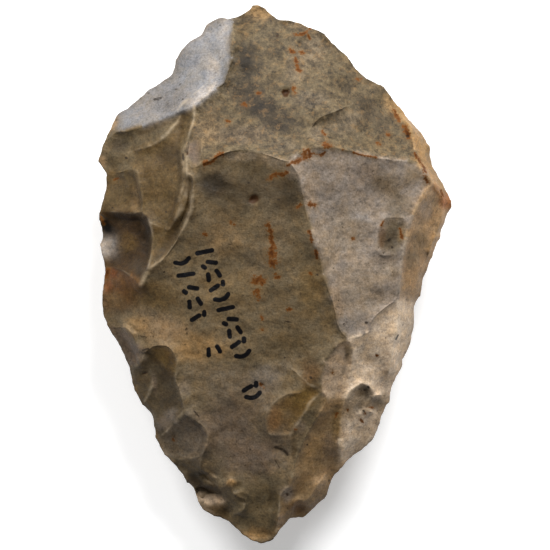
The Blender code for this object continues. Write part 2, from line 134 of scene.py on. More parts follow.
# %% The edge: x, y and how far each bite reaches in, clockwise from the broad end's tip
EDGE = (
    (-5.2, 75, -0.3), (-2.4, 74, 0.35), (1.4, 70.9, -0.7), (9.4, 68.7, -0.3), (14, 66.9, 0.2),
    (20.2, 60.8, 0.4), (24.8, 55.3, 0.2), (30.6, 52.3, 0.3), (35, 46.3, 0.1), (39, 41.3, -0.3),
    (43.1, 35.6, 0.2), (44, 30, -0.1), (49.3, 20.6, 0), (49.3, 18.7, 0.35), (46, 10, 0.2),
    (43.8, 4.6, 0.5), (40.6, -6.1, 0.25), (38.7, -9, -0.6), (37.4, -20.4, -0.1),
    (35.6, -23.6, -0.2), (34.9, -27, 0.3), (32.2, -32.8, -0.15), (31.9, -35.6, 0.1),
    (29.9, -39.2, -0.3), (27.3, -46, -0.3), (22.5, -50, 0.2), (19.8, -52.4, 0.1),
    (15.9, -57.3, -0.1), (14, -62.5, 0.1), (8, -67.8, 0.1), (4.4, -67.9, 0.2), (-0.3, -73.7, -0.3),
    (-4, -75, -0.2), (-8.8, -72.7, 0.1), (-12.8, -69, 0.3), (-16, -67.6, -0.3),
    (-20.3, -65.2, -0.2), (-22.6, -59.6, 0.2), (-24.6, -58, 0.35), (-27, -54.3, 0.1),
    (-30.8, -50.3, -0.15), (-33.2, -45.3, -0.1), (-33.8, -40.4, 0.5), (-37, -36.2, 0.1),
    (-39.2, -32, 0.1), (-41, -24.5, 0.15), (-46.4, -14.6, -0.3), (-48.1, -9, 0),
    (-48.1, -4.8, 0.25), (-47.4, 1.6, 0.1), (-48.8, 8.2, 0.8), (-49, 15.2, -0.1),
    (-48.9, 17.4, 0.1), (-47.1, 23.6, 0.15), (-47.2, 28.2, 0.1), (-49.3, 31.4, 0), (-48, 35.6, 0),
    (-44.4, 44, -0.1), (-42.8, 45.3, 0.3), (-36, 50.9, 0), (-30.4, 54.4, 0.8), (-27.7, 59.6, -1),
    (-20.9, 66.5, 0.1), (-19.4, 69, -0.4), (-14.8, 71.7, 0.5), (-10, 72.1, 0.1), (-8, 73.2, 0.1),
    (-6.2, 74.9, 0),
)
print(len(EDGE), "bites round the edge")

# %% The large facets of the upper face, each by three points (x, y, z)
UPPER_FACETS = (
    ((6, 28, 41), (-22, 28, 37.6), (17, -12, 34.4)),  # middle
    ((6, 30.5, 41), (-20, 33, 38), (2, 70, 23.5)),  # broad end
    ((-14, 53, 29.9), (-21, 46.6, 29.1), (-14, 33.5, 38.2)),  # its left flank
    ((14, 35, 38.9), (43, 31, 25.5), (21, 56, 26.5)),  # its right flank
    ((-11.1, 71.7, 21.8), (-13.8, 52.7, 29.9), (-43, 40, 20.5)),  # pale shoulder
    ((7, 27, 40.9), (17.5, -14, 34), (38, 16, 28.5)),  # right
    ((41, 22, 27), (34.5, -2, 28.3), (47, 14, 18.5)),  # right strip
    ((-25.5, 33.7, 34.5), (-34, 2, 30.6), (-48, 20, 21)),  # left
    ((-36, -3, 29.8), (-30, -22, 27.4), (-48, -8, 22)),  # left shoulder
    ((18, -17, 33.6), (9, -40, 28.9), (33, -20, 26.5)),  # lower right
    ((18.5, -40, 26.2), (27, -15, 29.8), (29, -44, 19.5)),  # its edge
    ((-35.5, -22, 26.8), (-24.9, -37.5, 25.2), (-37, -36, 18.5)),  # lower left
    ((-10, -56, 23.8), (4, -58, 23.4), (-4, -74, 17.8)),  # narrow end
    ((4.4, -58.5, 23.2), (1.5, -71, 18.6), (13, -62, 18.5)),  # its right flank
    ((-19, -45, 24.6), (-14, -60, 22.4), (-27, -55, 18)),  # its left flank
)
print(len(UPPER_FACETS), "large facets")

# %% The arrises of the upper face, as smooth lines of (x, y, drop below the facets)
ARRISES = (
    # one scar of the left side, and one of the broad end
    ((-37.9, 28.4, 1.3), (-37.2, 25, 1.2), (-36.6, 21, 1.2), (-36.8, 17.2, 1.4)),
    ((8.9, 39.5, 0.3), (12.5, 43.3, 0.25), (17, 45.2, 0.25), (21.5, 47.2, 0.3)),
    # round the large facets
    ((-19.6, 30.6, 0), (-13.8, 33.5, 0), (-8.3, 34.4, 0), (-2.2, 33, 0), (3.7, 31.3, 0),
     (8.4, 34.4, 0), (14.3, 35.2, 0), (20.9, 34.1, 0), (27.1, 32.4, 0), (39.5, 31, 0)),
    ((3.7, 31.3, 0), (6.9, 26.6, 0), (8.4, 18, 0), (11.5, 8.2, 0), (13.4, 0.1, 0), (16.2, -8.5, 0),
     (17.6, -14.5, 0), (20.2, -17.8, 0)),
    ((-11.4, 71, 0.4), (-12, 60, 0), (-14, 53, 0)),
    ((20.2, -17.8, 0), (24.5, -16.6, 0), (26.6, -15.4, 0), (27, -12.8, 0), (29.4, -10.2, 0),
     (34.4, -6.6, 0)),
    ((35, 44.5, 0), (37.6, 40, 0), (39.5, 31, 0), (43.2, 25.4, 0), (47.2, 20.6, 0)),
    # the pale shoulder's lower arris, and the narrow facet beside it
    ((-46.6, 37.8, 0.3), (-43.5, 39.6, 0), (-41, 39.9, 0), (-34.4, 41.9, 0), (-27.8, 44.7, 0),
     (-22, 46.8, 0), (-18, 50.2, 0), (-14, 53, 0)),
    # the scars of the broad left side
    ((-46.4, 28.2, 1.3), (-43, 28.4, 1.3), (-40, 29.2, 1.3), (-37.9, 28.4, 1.3)),
    ((-47.9, 17.2, 2), (-44, 17.4, 2.3), (-40, 17, 2.2), (-36.8, 17.2, 1.4), (-34.6, 15.6, 1.4)),
    ((-46.4, 2, 2.2), (-43, 1.5, 1.8), (-39.5, -0.6, 1), (-36.8, -2.8, 0.2)),
    ((-33.9, 14.2, 1.4), (-31.5, 13.2, 2), (-29.2, 12.4, 2)),
    ((-23.9, 32.6, 0), (-23.4, 36.2, 0), (-21.8, 38.3, 0), (-20.3, 36.2, 0), (-20.2, 33, 0),
     (-20.9, 30.2, 0), (-23, 29.8, 0), (-23.9, 32.6, 0)),
    # the steep scars down the left edge
    ((-45.4, -14.8, 0), (-41.4, -14.8, 0), (-39.4, -16.8, 0), (-37.6, -20.6, 0), (-35.6, -21.2, 0),
     (-33.6, -19.9, 0), (-30, -19.8, 0), (-28.2, -21.4, 0)),
    ((-27.6, -29.3, 0.3), (-26, -33.2, 0.2), (-24.7, -37.7, 0.1), (-22.8, -40, 0), (-19, -43, 0),
     (-18.6, -46.5, 0), (-20.1, -50.2, 0.2)),
    ((-39.6, -25.4, 0.5), (-37.4, -24.8, 1), (-35.6, -21.2, 0)),
    ((-20.1, -50.2, 0.2), (-24, -51.2, 0.6), (-28.6, -51.4, 0.5)),
    # the narrow end
    ((-20.1, -50.2, 0.2), (-20.6, -53.6, 0.3), (-18, -56.4, 0.6), (-15, -59.6, 0.4)),
    ((-21.8, -60, 0.8), (-18.6, -59.9, 0.9), (-15, -59.6, 0.4), (-12.2, -57.2, 0)),
    ((-21, -63.3, 1), (-17, -63.4, 0.9), (-13.4, -63.4, 0.9), (-12.4, -66.4, 0.9)),
    ((-12.2, -57.2, 0), (-11.5, -60.6, 0.3), (-8, -63, 0.2), (-9.4, -66, 0.4), (-12.4, -66.4, 0.9)),
    ((14.2, -55, 0), (11.5, -59, 0), (8.8, -62.4, 0.1), (5.8, -62.6, 0.1), (4.8, -66.4, 0.3)),
    # the scars of the lower right
    ((20.2, -17.8, 0), (21.4, -20.5, 0), (21.2, -24, 0.3), (20.2, -29, 0.6)),
    ((20.2, -17.8, 0), (17, -19.6, 0), (13.8, -24, 0), (12.5, -28.5, 0), (13, -32.2, 0.1)),
    ((2.8, -24.6, 0.2), (9.2, -30.2, 0.3), (7.6, -32.3, 0.1), (3.5, -33.2, 0), (0.2, -35, 0),
     (-2.2, -39, 0), (-1.6, -44, 0.2), (4.2, -44.6, 0.3)),
    ((13, -32.2, 0.1), (14.3, -34.4, 0), (11.5, -40, 0), (8.4, -45.4, 0), (5.6, -52, 0),
     (4.4, -58.5, 0)),
    ((24.2, -30, 0), (26.5, -31.4, 0), (27, -34, 0.3), (25, -37, 0.8), (22.4, -39.8, 0.8),
     (19.6, -42.6, 0.5)),
    ((27, -34, 0.3), (29, -33.4, 0), (30.7, -33.6, 0)),
    ((25, -37, 0.8), (27.2, -38.4, 0.6), (28.8, -38.6, 0.5)),
    # the scars of the right side
    ((36.9, 15.4, 0), (33.5, 15.8, 0), (30.2, 15.2, 0), (28.5, 11, 0), (28.3, 6.8, 0),
     (30, 5.2, 0.1), (33, 6, 0.2), (35.4, 7.2, 0)),
    ((47.2, 20.6, 0), (45.8, 14, -0.2), (43.8, 9, -0.2), (41.6, 3, -0.2)),
)
print(len(ARRISES), "plain arrises")

# %% The sharper arrises, whose lips are painted pale: worn, and with a painted highlight on the crest
LIPS = (
    # the two steps that face left
    ((-22, 46.8, 0), (-22.6, 42, 0.1), (-24, 38, 0.1), (-25.4, 34, 0.1), (-25.1, 30, 0.5),
     (-25, 25, 1.1), (-25.9, 20.4, 1.9)),
    ((-24.4, 33, 0.1), (-24.2, 28, 0.3), (-24.1, 24.5, 0.9), (-25, 20, 1.5), (-27, 15.8, 1.8),
     (-29.2, 12.4, 2)),
    ((-24.2, 28, 0.3), (-22.7, 26.5, 0), (-22.6, 20, 0), (-23.6, 16, 0), (-25.3, 12.5, 0),
     (-28, 8.3, 0), (-31, 4.2, 0), (-34.9, 1.4, 0.1)),
    # the scars of the broad left side
    ((-40.6, 34, 1.5), (-34.5, 35.6, 1.1), (-30.5, 38.2, 1), (-28, 41, 1.1), (-26.4, 43.2, 1.1),
     (-25.7, 44.2, 1.1)),
    ((-34.6, 15.6, 1.4), (-33.9, 11.5, 1.4), (-34.2, 7, 1.1), (-34.9, 1.4, 0.1),
     (-36.8, -2.8, 0.2)),
    ((-27.8, 44.7, 0), (-24.5, 47.6, -0.1), (-21.3, 50.4, -0.15), (-19, 53, -0.1)),
    # the steep scars down the left edge
    ((-28.2, -21.4, 0), (-27, -25, 0), (-27.6, -29.3, 0.3)),
    ((-24.7, -37.7, 0.1), (-28, -41.6, 0.8), (-32, -45.3, 0.6)),
    ((-34.6, -26.4, 1.8), (-34, -30, 1.4), (-34.8, -33, 1), (-36, -35, 0.5)),
    # the broad end, the right and the narrow end
    ((43.2, 25.4, 0), (41, 22.4, 0), (38.6, 17.5, 0), (36.6, 12, 0), (34.9, 2, 0), (34.4, -6.6, 0),
     (33.8, -14, 0), (32, -23.5, 0), (31, -30, 0)),
    ((24.2, -30, 0), (21.2, -31.8, 0), (19.6, -34.4, 0), (18.6, -39, 0), (18, -47, 0),
     (18.6, -50.6, 0.2)),
    ((9.2, -30.2, 0.3), (13, -32.2, 0.1), (10, -35.2, 0), (8, -38.8, 0), (4.2, -44.6, 0.3)),
    ((4.4, -58.5, 0), (1.6, -61.2, 0), (1.2, -65.5, 0), (0.4, -71.4, 0)),
)
print(len(LIPS), "worn lips")

# %% The feet of the steps, drawn in the same way
STEP_FEET = (
    ((-25.4, 43.8, 1.2), (-26.2, 40, 1.8), (-26.7, 35, 2.3), (-26.2, 30, 2.6), (-26.2, 25, 2.8),
     (-27.2, 20, 2.9), (-29, 15.5, 2.7)),
    ((-23.6, 26, 1.1), (-23.7, 20.5, 2.2), (-25.2, 15.5, 2.5), (-27.5, 11.6, 2.4), (-30.3, 7.4, 2),
     (-32.6, 4.6, 1.3)),
    ((-45.6, 27, 1.8), (-42.5, 27.2, 1.9), (-39.2, 27.4, 2), (-38.1, 25, 2.1), (-37.6, 22, 2.2),
     (-37.6, 18.6, 2.4)),
    ((-47.2, 15.2, 3.6), (-44, 15.5, 4.4), (-40, 15.2, 4.8), (-36.6, 14.8, 4.9), (-35.2, 11.5, 4.9),
     (-35.4, 7, 4.2), (-36.5, 2.8, 2.8), (-37.9, 0.4, 1.5)),
    ((-35.2, -21.9, 0.8), (-33, -24.2, 1.6), (-30.2, -26.9, 1.6), (-28.2, -29.3, 0.9)),
    ((-23.9, -39.2, 0.9), (-20.6, -42.6, 1), (-19.9, -46.5, 1), (-21, -49.2, 0.8)),
    ((-20.8, -60.9, 2), (-18, -60.9, 2.3), (-15, -61, 2), (-13.2, -61.8, 1.4)),
    ((19.6, -20.6, 1.2), (19.8, -23.4, 1.3), (18.8, -27, 1.2)),
    ((25.3, -31.6, 0.8), (25.3, -34.2, 1.1), (23.4, -36.6, 1)),
    ((35, 13.9, 0.5), (33, 11, 0.8), (31, 8.2, 0.7)),
)
print(len(STEP_FEET), "feet of steps")

# %% The hidden face: a flat to lie on, and its arrises as (x, y, z)
REST_RIM = (
    (-3, 30), (11, 27), (18, 14), (17, -3), (9, -17), (-2, -26), (-12, -21), (-19, -6), (-17, 12),
    (-11, 24),
)
UNDER_ARRISES = (
    ((-3, 30, 0), (-1, 44, 4.6), (2, 57, 9.8), (1.5, 68.5, 14.6)),
    ((-1, 44, 4.6), (10, 55, 8.6), (17, 61.5, 13.6)),
    ((11, 27, 0), (22, 33, 4.2), (35, 43, 12.6)),
    ((18, 14, 0), (30, 19, 5), (46, 21, 14.4)),
    ((30, 19, 5), (36, 10, 8.4), (43.5, 8, 13.2)),
    ((17, -3, 0), (28, -6, 5.8), (38, -8.5, 12.8)),
    ((9, -17, 0), (20, -24, 5.4), (32.5, -29, 13)),
    ((20, -24, 5.4), (21, -36, 8.4), (25.5, -45, 13)),
    ((-2, -26, 0), (4, -42, 5.6), (11, -62, 13.6)),
    ((4, -42, 5.6), (-4, -54, 8.4), (-5, -72, 14.8)),
    ((-12, -21, 0), (-16, -38, 6), (-21, -58, 13.4)),
    ((-16, -38, 6), (-25, -43, 9.6), (-32, -45, 13.4)),
    ((-19, -6, 0), (-29, -14, 5.6), (-42, -19.5, 13.8)),
    ((-17, 12, 0), (-31, 10, 6.4), (-46.5, 6, 14)),
    ((-31, 10, 6.4), (-36, 20, 9.2), (-45.5, 25, 14.2)),
    ((-11, 24, 0), (-22, 36, 5.8), (-35, 48, 13.4)),
    ((-22, 36, 5.8), (-18, 52, 9.6), (-22.5, 63, 14.4)),
)
print(len(UNDER_ARRISES), "arrises on the hidden face")

# %% [markdown]
# ## The blank
# The stone starts as a blank: a triangle mesh whose points already lie on the edge and on every
# arris. A constrained Delaunay fill keeps those lines as mesh edges, so that an arris is never
# cut across by a triangle and stays crisp. Points are close together beside the lines, where
# the form turns, and twice as far apart in the calm middle of a scar.

# %% Lines in the plan
FINE = 0.33  # spacing of points beside an arris
FINE_REACH = 1.9  # how far from an arris the points stay that close
UNDER_STEP = 0.95  # spacing of points on the hidden face
EDGE_CLEARANCE = 0.7  # how near the edge a line may run
FADE = 3.5  # length over which an arris that ends in the open dies away
LONGEST_FADE = 0.45  # the most of an arris that one fading end may take
JOINED = 1.0  # an arris that ends nearer than this to another one meets it
EDGE_NOISE = 0.16  # how far the edge crumbles away from its arcs
COARSE, CRISP = 0.45, 1.1  # waves of the two crumbling noises, per millimetre


def edge_points(step):
    """The edge as a closed run of plan points: shallow arcs, broken up by fine noise."""
    points = []
    for (x, y, bite), (next_x, next_y, _) in zip(EDGE, EDGE[1:] + EDGE[:1]):
        along = np.array((next_x - x, next_y - y))
        length = np.hypot(*along)
        inward = np.array((along[1], -along[0])) / length
        spans = max(1, round(length / step))
        for share in np.arange(spans) / spans:
            at = np.array((x, y)) + along * share + inward * 4.0 * bite * share * (1.0 - share)
            x0, y0 = at
            crumble = noise.noise(Vector((COARSE * x0, COARSE * y0, 7.0)))
            crumble += 0.5 * noise.noise(Vector((CRISP * x0, CRISP * y0, 9.0)))
            points.append(at + inward * EDGE_NOISE * (1.0 + 1.5 * crumble))
    return np.array(points)


def smooth_line(points, step):
    """A smooth curve through the points, which passes each one, with a point every step."""
    points = np.array(points, float)
    ends = 2.0 * points[[0, -1]] - points[[1, -2]]
    held = np.vstack((ends[:1], points, ends[1:]))
    line = []
    for before, start, end, after in zip(held, held[1:], held[2:], held[3:]):
        spans = max(1, round(np.hypot(*(end - start)[:2]) / step))
        for share in np.arange(spans) / spans:
            line.append(
                start
                + 0.5 * share * (end - before)
                + share**2 * (before - 2.5 * start + 2.0 * end - 0.5 * after)
                + share**3 * (1.5 * (start - end) + 0.5 * (after - before))
            )
    return np.array(line + [points[-1]])


def tree_of(lines):
    """A search tree over the points of several lines."""
    points = np.vstack([line[:, :2] for line in lines])
    tree = KDTree(len(points))
    for i, (x, y) in enumerate(points):
        tree.insert((x, y, 0.0), i)
    tree.balance()
    return tree


def distances(points, tree):
    return np.array([tree.find((x, y, 0.0))[2] for x, y in points[:, :2]])


edge = edge_points(FINE)
print("edge:", len(edge), "points round", round(np.hypot(*np.diff(edge, axis=0).T).sum()), "mm")

# %% Heights of the facets and of the edge


def plane_through(three):
    """z0, dz/dx and dz/dy of the plane through three points."""
    rows = np.array([(1.0, x, y) for x, y, _ in three])
    return np.linalg.solve(rows, np.array([z for _, _, z in three]))


def large_facets(points):
    """Height of the large facets over plan points: the lowest of their planes."""
    rows = np.column_stack((np.ones(len(points)), points[:, :2]))
    return np.min([rows @ plane_through(three) for three in UPPER_FACETS], axis=0)


EDGE_THICKNESS = 0.8
EDGE_LOWEST, EDGE_HIGHEST = 15.0, 20.5
EDGE_UNDER = 14.0  # height of the hidden face's large facets at the edge
EDGE_WAVE = 1.2  # how far the edge line strays up and down
WAVES = 0.06  # of that straying, per millimetre
wave = np.array([noise.noise(Vector((WAVES * x, WAVES * y, 3.0))) for x, y in edge])
edge_height = np.clip(0.5 * (large_facets(edge) + EDGE_UNDER), EDGE_LOWEST, EDGE_HIGHEST)
edge_height = edge_height + EDGE_WAVE * wave
print("edge height from", edge_height.min().round(1), "to", edge_height.max().round(1), "mm")

# %% How firmly each point of a line is held


def clipped(lines, clearance):
    """The lines without the points that come too near the edge."""
    near_edge = tree_of([edge])
    kept = [line[distances(line, near_edge) > clearance] for line in lines]
    return [line for line in kept if len(line) > 2]


def grips(lines):
    """For each line, how firmly its points are held: less and less towards an open end."""
    result = []
    for i, line in enumerate(lines):
        others = tree_of([other for j, other in enumerate(lines) if j != i])
        run = np.concatenate(([0.0], np.cumsum(np.hypot(*np.diff(line[:, :2], axis=0).T))))
        grip = np.ones(len(line))
        is_ring = np.hypot(*(line[0] - line[-1])[:2]) < JOINED
        for end, away in ((line[:1], run), (line[-1:], run[-1] - run)):
            if not is_ring and distances(end, others)[0] > JOINED:
                fade = min(FADE, LONGEST_FADE * run[-1])
                grip = grip * np.clip(away / fade, 0.0, 1.0) ** 3
        result.append(grip)
    return result


upper_lines = clipped([smooth_line(a, FINE) for a in ARRISES + LIPS + STEP_FEET], EDGE_CLEARANCE)
rim = [(x, y, 0.0) for x, y in REST_RIM + REST_RIM[:1]]
under_lines = [smooth_line(pair, UNDER_STEP) for pair in zip(rim, rim[1:])]
under_lines += clipped([smooth_line(a, UNDER_STEP) for a in UNDER_ARRISES], EDGE_CLEARANCE)
upper_grips, under_grips = grips(upper_lines), grips(under_lines)
print(len(upper_lines), "lines above and", len(under_lines), "below")

# %% The ink, which the blank needs to know so that its points are close together there
INK_SIZE = (2.4, 4.1)  # a mark's width along its row, and its height
INK_MARKS = (  # plain strokes, each mark one or two of them
    (((0.25, 0.0), (0.5, 1.0)),),
    (((0.1, 0.8), (0.75, 0.9)), ((0.15, 0.2), (0.8, 0.1))),
    (((0.3, 1.0), (0.6, 0.7), (0.6, 0.35), (0.35, 0.05)),),
    (((0.2, 0.45), (0.6, 0.95)), ((0.5, 0.05), (0.7, 0.15))),
    (((0.6, 0.0), (0.35, 0.55)), ((0.15, 0.95), (0.45, 0.9))),
)
INK_ROWS = (  # where each row starts and ends, and how many marks it has
    ((-21.6, 6.4), (-10.0, -25.0), 10),
    ((-27.9, 4.0), (-22.2, -15.0), 5),
    ((-9.0, -30.8), (-7.6, -35.6), 2),
    ((-19.2, -20.6), (-18.2, -24.0), 1),
)


def ink_lines():
    """Each row's marks, as lines of plan points, with their tops to the row's left."""
    lines = []
    for row, (start, end, count) in enumerate(INK_ROWS):
        start, end = np.array(start), np.array(end)
        ahead = (end - start) / np.hypot(*(end - start))
        top = np.array((-ahead[1], ahead[0]))
        pitch = (end - start) / count
        for i in range(count):
            for stroke in INK_MARKS[(3 * i + 2 * row) % len(INK_MARKS)]:
                along, up = (np.array(stroke) * INK_SIZE).T
                lines.append(start + pitch * i + np.outer(along, ahead) + np.outer(up, top))
    return lines


ink = [smooth_line(line, FINE) for line in ink_lines()]
print(len(ink), "ink strokes")

# %% Filling the plan with triangles
GRID_CLEARANCE = 0.62  # how near a line a grid point may lie, in steps of the grid
MERGE = 1e-4  # points nearer than this become one, in millimetres


def plan_grid(step, close):
    """Points of a triangular grid: all of them where close is under reach, else one in four."""
    row_gap = step * math.sqrt(0.75)
    low, high = edge.min(axis=0), edge.max(axis=0)
    ys = np.arange(low[1], high[1], row_gap)
    xs = np.arange(low[0], high[0], step)
    column, row = np.meshgrid(np.arange(len(xs)), np.arange(len(ys)))
    grid = np.column_stack(((xs[column] + 0.5 * step * (row % 2)).ravel(), ys[row].ravel()))
    in_coarse = ((row % 2 == 0) & ((column + row // 2) % 2 == 0)).ravel()
    if close is None:
        return grid
    return grid[in_coarse | (distances(grid, close) < FINE_REACH)]


def sheet_of(lines, held_by, step, close):
    """Triangles over the plan that follow the edge and every line.

    Gives the plan points, the triangles, for each edge point its place among them, and for each
    point the height that it is held at and how firmly.
    """
    coords = [tuple(point) for point in edge]
    links = [(i, (i + 1) % len(edge)) for i in range(len(edge))]
    for line in lines:
        first = len(coords)
        coords += [tuple(point[:2]) for point in line]
        links += [(first + i, first + i + 1) for i in range(len(line) - 1)]
    grid = plan_grid(step, close)
    clear = distances(grid, tree_of([edge, *lines])) > GRID_CLEARANCE * step
    coords += [tuple(point) for point in grid[clear]]
    vectors = [Vector(point) for point in coords]
    points, _, triangles, sources, _, _ = delaunay_2d_cdt(vectors, links, [], 1, MERGE)
    triangles = np.array(triangles)
    used = np.unique(triangles)
    place = np.full(len(points), -1)
    place[used] = np.arange(len(used))
    heights, grip = np.zeros(len(used)), np.zeros(len(used))
    on_edge = np.zeros(len(edge), int)
    line_heights = np.concatenate([line[:, 2] for line in lines])
    line_grips = np.concatenate(held_by)
    for at, origins in zip(place, sources):
        for origin in origins if at >= 0 else ():
            if origin < len(edge):
                on_edge[origin] = at
            elif origin < len(edge) + len(line_heights):
                heights[at] = line_heights[origin - len(edge)]
                grip[at] = max(grip[at], line_grips[origin - len(edge)])
    return np.array(points)[used], place[triangles], on_edge, heights, grip


close_lines = tree_of(upper_lines + ink)
upper, upper_triangles, upper_edge, drops, upper_grip = sheet_of(
    upper_lines, upper_grips, FINE, close_lines)
upper_height = large_facets(upper) - drops
under, under_triangles, under_edge, under_height, under_grip = sheet_of(
    under_lines, under_grips, UNDER_STEP, None)
print("triangles:", len(upper_triangles), "above,", len(under_triangles), "below")

# %% The flat, the rim and the mesh


def inside_rim(points):
    """Which plan points lie on the flat that the axe rests on: it is convex."""
    inside = np.full(len(points), True)
    for (ax, ay), (bx, by) in zip(REST_RIM, REST_RIM[1:] + REST_RIM[:1]):
        inside &= (bx - ax) * (points[:, 1] - ay) - (by - ay) * (points[:, 0] - ax) < 1e-6
    return inside


on_flat = inside_rim(under)
under_height[on_flat] = 0.0
under_grip[on_flat] = 1.0
upper_height[upper_edge] = edge_height + 0.5 * EDGE_THICKNESS
under_height[under_edge] = edge_height - 0.5 * EDGE_THICKNESS
upper_grip[upper_edge] = under_grip[under_edge] = 1.0

low_edge = under_edge + len(upper)
next_high, next_low = np.roll(upper_edge, -1), np.roll(low_edge, -1)
band = np.vstack((
    np.column_stack((next_high, next_low, low_edge)),
    np.column_stack((next_high, low_edge, upper_edge)),
))
faces = np.vstack((upper_triangles, under_triangles[:, ::-1] + len(upper), band))
points = np.vstack((np.column_stack((upper, upper_height)), np.column_stack((under, under_height))))
stone_mesh = bpy.data.meshes.new("hand_axe_skin")
stone_mesh.from_pydata((points * MM).tolist(), [], faces.tolist())
stone_mesh.shade_smooth()
stone = bpy.data.objects.new("hand_axe_skin", stone_mesh)
bpy.context.scene.collection.objects.link(stone)


def put_on_points(mesh, name, values):
    attribute = mesh.attributes.new(name, "FLOAT", "POINT")
    attribute.data.foreach_set("value", np.asarray(values, np.float32))


ends = np.concatenate((faces[:, :2], faces[:, 1:], faces[:, ::2]))
spans = ((points[ends[:, 0]] - points[ends[:, 1]])[:, :2] ** 2).sum(axis=1)
counts = np.bincount(ends.ravel(), minlength=len(points))
spacing = np.bincount(ends[:, 0], spans, len(points)) + np.bincount(ends[:, 1], spans, len(points))
put_on_points(stone_mesh, "spacing_squared", spacing / counts)
put_on_points(stone_mesh, "grip", np.concatenate((upper_grip, under_grip)))
put_on_points(stone_mesh, "side", np.repeat((1.0, -1.0), (len(upper), len(under))))
print("blank:", len(points), "points and", len(faces), "triangles")

# %% [markdown]
# ## Building node trees with arithmetic
# Geometry and shader trees are made of the same Math, Mix and Noise nodes. A Wire stands for
# one output of a node, and adding or multiplying wires adds the nodes, so that a formula can be
# read as a formula.

# %% Wires: nodes as values


def feed(socket, value):
    """Links a wire to a socket, or sets the socket's own value."""
    if isinstance(value, Wire):
        socket.id_data.links.new(value.socket, socket)
    elif socket.type == "VECTOR" and isinstance(value, (int, float)):
        socket.default_value = (value, value, value)
    elif value is not None:
        socket.default_value = value


def add(tree, kind, inputs, output=0, **settings):
    """Adds a node, sets it, feeds its inputs by name or place, and gives one output as a wire."""
    node = tree.nodes.new(kind)
    for name, value in settings.items():
        setattr(node, name, value)
    for key, value in inputs.items():
        feed(node.inputs[key], value)
    return Wire(node.outputs[output])


class Wire:
    """The output of a node."""

    def __init__(self, socket):
        self.socket = socket
        self.tree = socket.id_data

    def math(self, operation, *others):
        values = (self, *others)
        wires = [value for value in values if isinstance(value, Wire)]
        is_vector = any(wire.socket.type in ("VECTOR", "RGBA") for wire in wires)
        kind = "ShaderNodeVectorMath" if is_vector else "ShaderNodeMath"
        return add(self.tree, kind, dict(enumerate(values)), operation=operation)

    def __add__(self, other):
        return self.math("ADD", other)

    def __sub__(self, other):
        return self.math("SUBTRACT", other)

    def __mul__(self, other):
        return self.math("MULTIPLY", other)

    def __truediv__(self, other):
        return self.math("DIVIDE", other)

    def __pow__(self, other):
        return self.math("POWER", other)

    def __rsub__(self, other):
        return (self * -1.0) + other

    __radd__, __rmul__ = __add__, __mul__

    def at_least(self, other):
        return self.math("MAXIMUM", other)

    def at_most(self, other):
        return self.math("MINIMUM", other)

    def clamped(self):
        return self.at_least(0.0).at_most(1.0)

    def part(self, axis):
        return add(self.tree, "ShaderNodeSeparateXYZ", {0: self}, output="XYZ".index(axis))

    def ramp(self, low, high):
        """0 below low, 1 above high, and smooth between. Low may be the larger of the two."""
        ends = {"From Min": low, "From Max": high}
        inputs = {"Value": self, **ends}
        return add(self.tree, "ShaderNodeMapRange", inputs, interpolation_type="SMOOTHSTEP")


print("wires can", ", ".join(name for name in vars(Wire) if name[0] != "_"))

# %% Vectors, noise and mixing


def vector(tree, x, y, z):
    return add(tree, "ShaderNodeCombineXYZ", {0: x, 1: y, 2: z})


def noise_of(where, scale, detail=2.0, roughness=0.5):
    """Noise from about 0 to 1, with scale in waves per metre."""
    inputs = {"Vector": where, "Scale": scale, "Detail": detail, "Roughness": roughness}
    return add(where.tree, "ShaderNodeTexNoise", inputs)


MIX_SOCKETS = {"FLOAT": (2, 3, 0), "VECTOR": (4, 5, 1), "RGBA": (6, 7, 2)}


def mixed(factor, a, b, kind="FLOAT"):
    """A where the factor is 0, b where it is 1."""
    first, second, output = MIX_SOCKETS[kind]
    inputs = {0: factor, first: a, second: b}
    return add(factor.tree, "ShaderNodeMix", inputs, output=output, data_type=kind)


print("wires can mix", ", ".join(MIX_SOCKETS))


# %% Geometry trees
SOCKETS = {float: "NodeSocketFloat", int: "NodeSocketInt", object: "NodeSocketObject"}


def geometry_tree(name, **inputs):
    """A tree with geometry in and out, and a named input of each given type. Gives its wires."""
    tree = bpy.data.node_groups.new(name, "GeometryNodeTree")
    tree.interface.new_socket("Geometry", in_out="OUTPUT", socket_type="NodeSocketGeometry")
    tree.interface.new_socket("Geometry", in_out="INPUT", socket_type="NodeSocketGeometry")
    for label, kind in inputs.items():
        tree.interface.new_socket(label, in_out="INPUT", socket_type=SOCKETS[kind])
    tree.interface.new_socket("material", in_out="INPUT", socket_type="NodeSocketMaterial")
    entry = tree.nodes.new("NodeGroupInput")
    return tree, *[Wire(socket) for socket in entry.outputs if socket.name]


def close_tree(tree, geometry, material):
    """Ends a tree: instances become real, and the stone gets its material."""
    real = add(tree, "GeometryNodeRealizeInstances", {0: geometry})
    painted = add(tree, "GeometryNodeSetMaterial", {"Geometry": real, "Material": material})
    way_out = tree.nodes.new("NodeGroupOutput")
    feed(way_out.inputs[0], painted)


print("a tree takes", len(SOCKETS), "kinds of input")

# %% What the trees read and write


def named(tree, name, kind="FLOAT"):
    return add(tree, "GeometryNodeInputNamedAttribute", {"Name": name}, data_type=kind)


def stored(geometry, name, value, kind="FLOAT"):
    inputs = {"Geometry": geometry, "Name": name, "Value": value}
    return add(geometry.tree, "GeometryNodeStoreNamedAttribute", inputs, data_type=kind, domain="POINT")


def position_of(tree):
    return add(tree, "GeometryNodeInputPosition", {})


def moved(geometry, position=None, offset=None):
    inputs = {"Geometry": geometry, "Position": position, "Offset": offset}
    return add(geometry.tree, "GeometryNodeSetPosition", inputs)


def geometry_of(wire):
    return add(wire.tree, "GeometryNodeObjectInfo", {"Object": wire}, output=4)


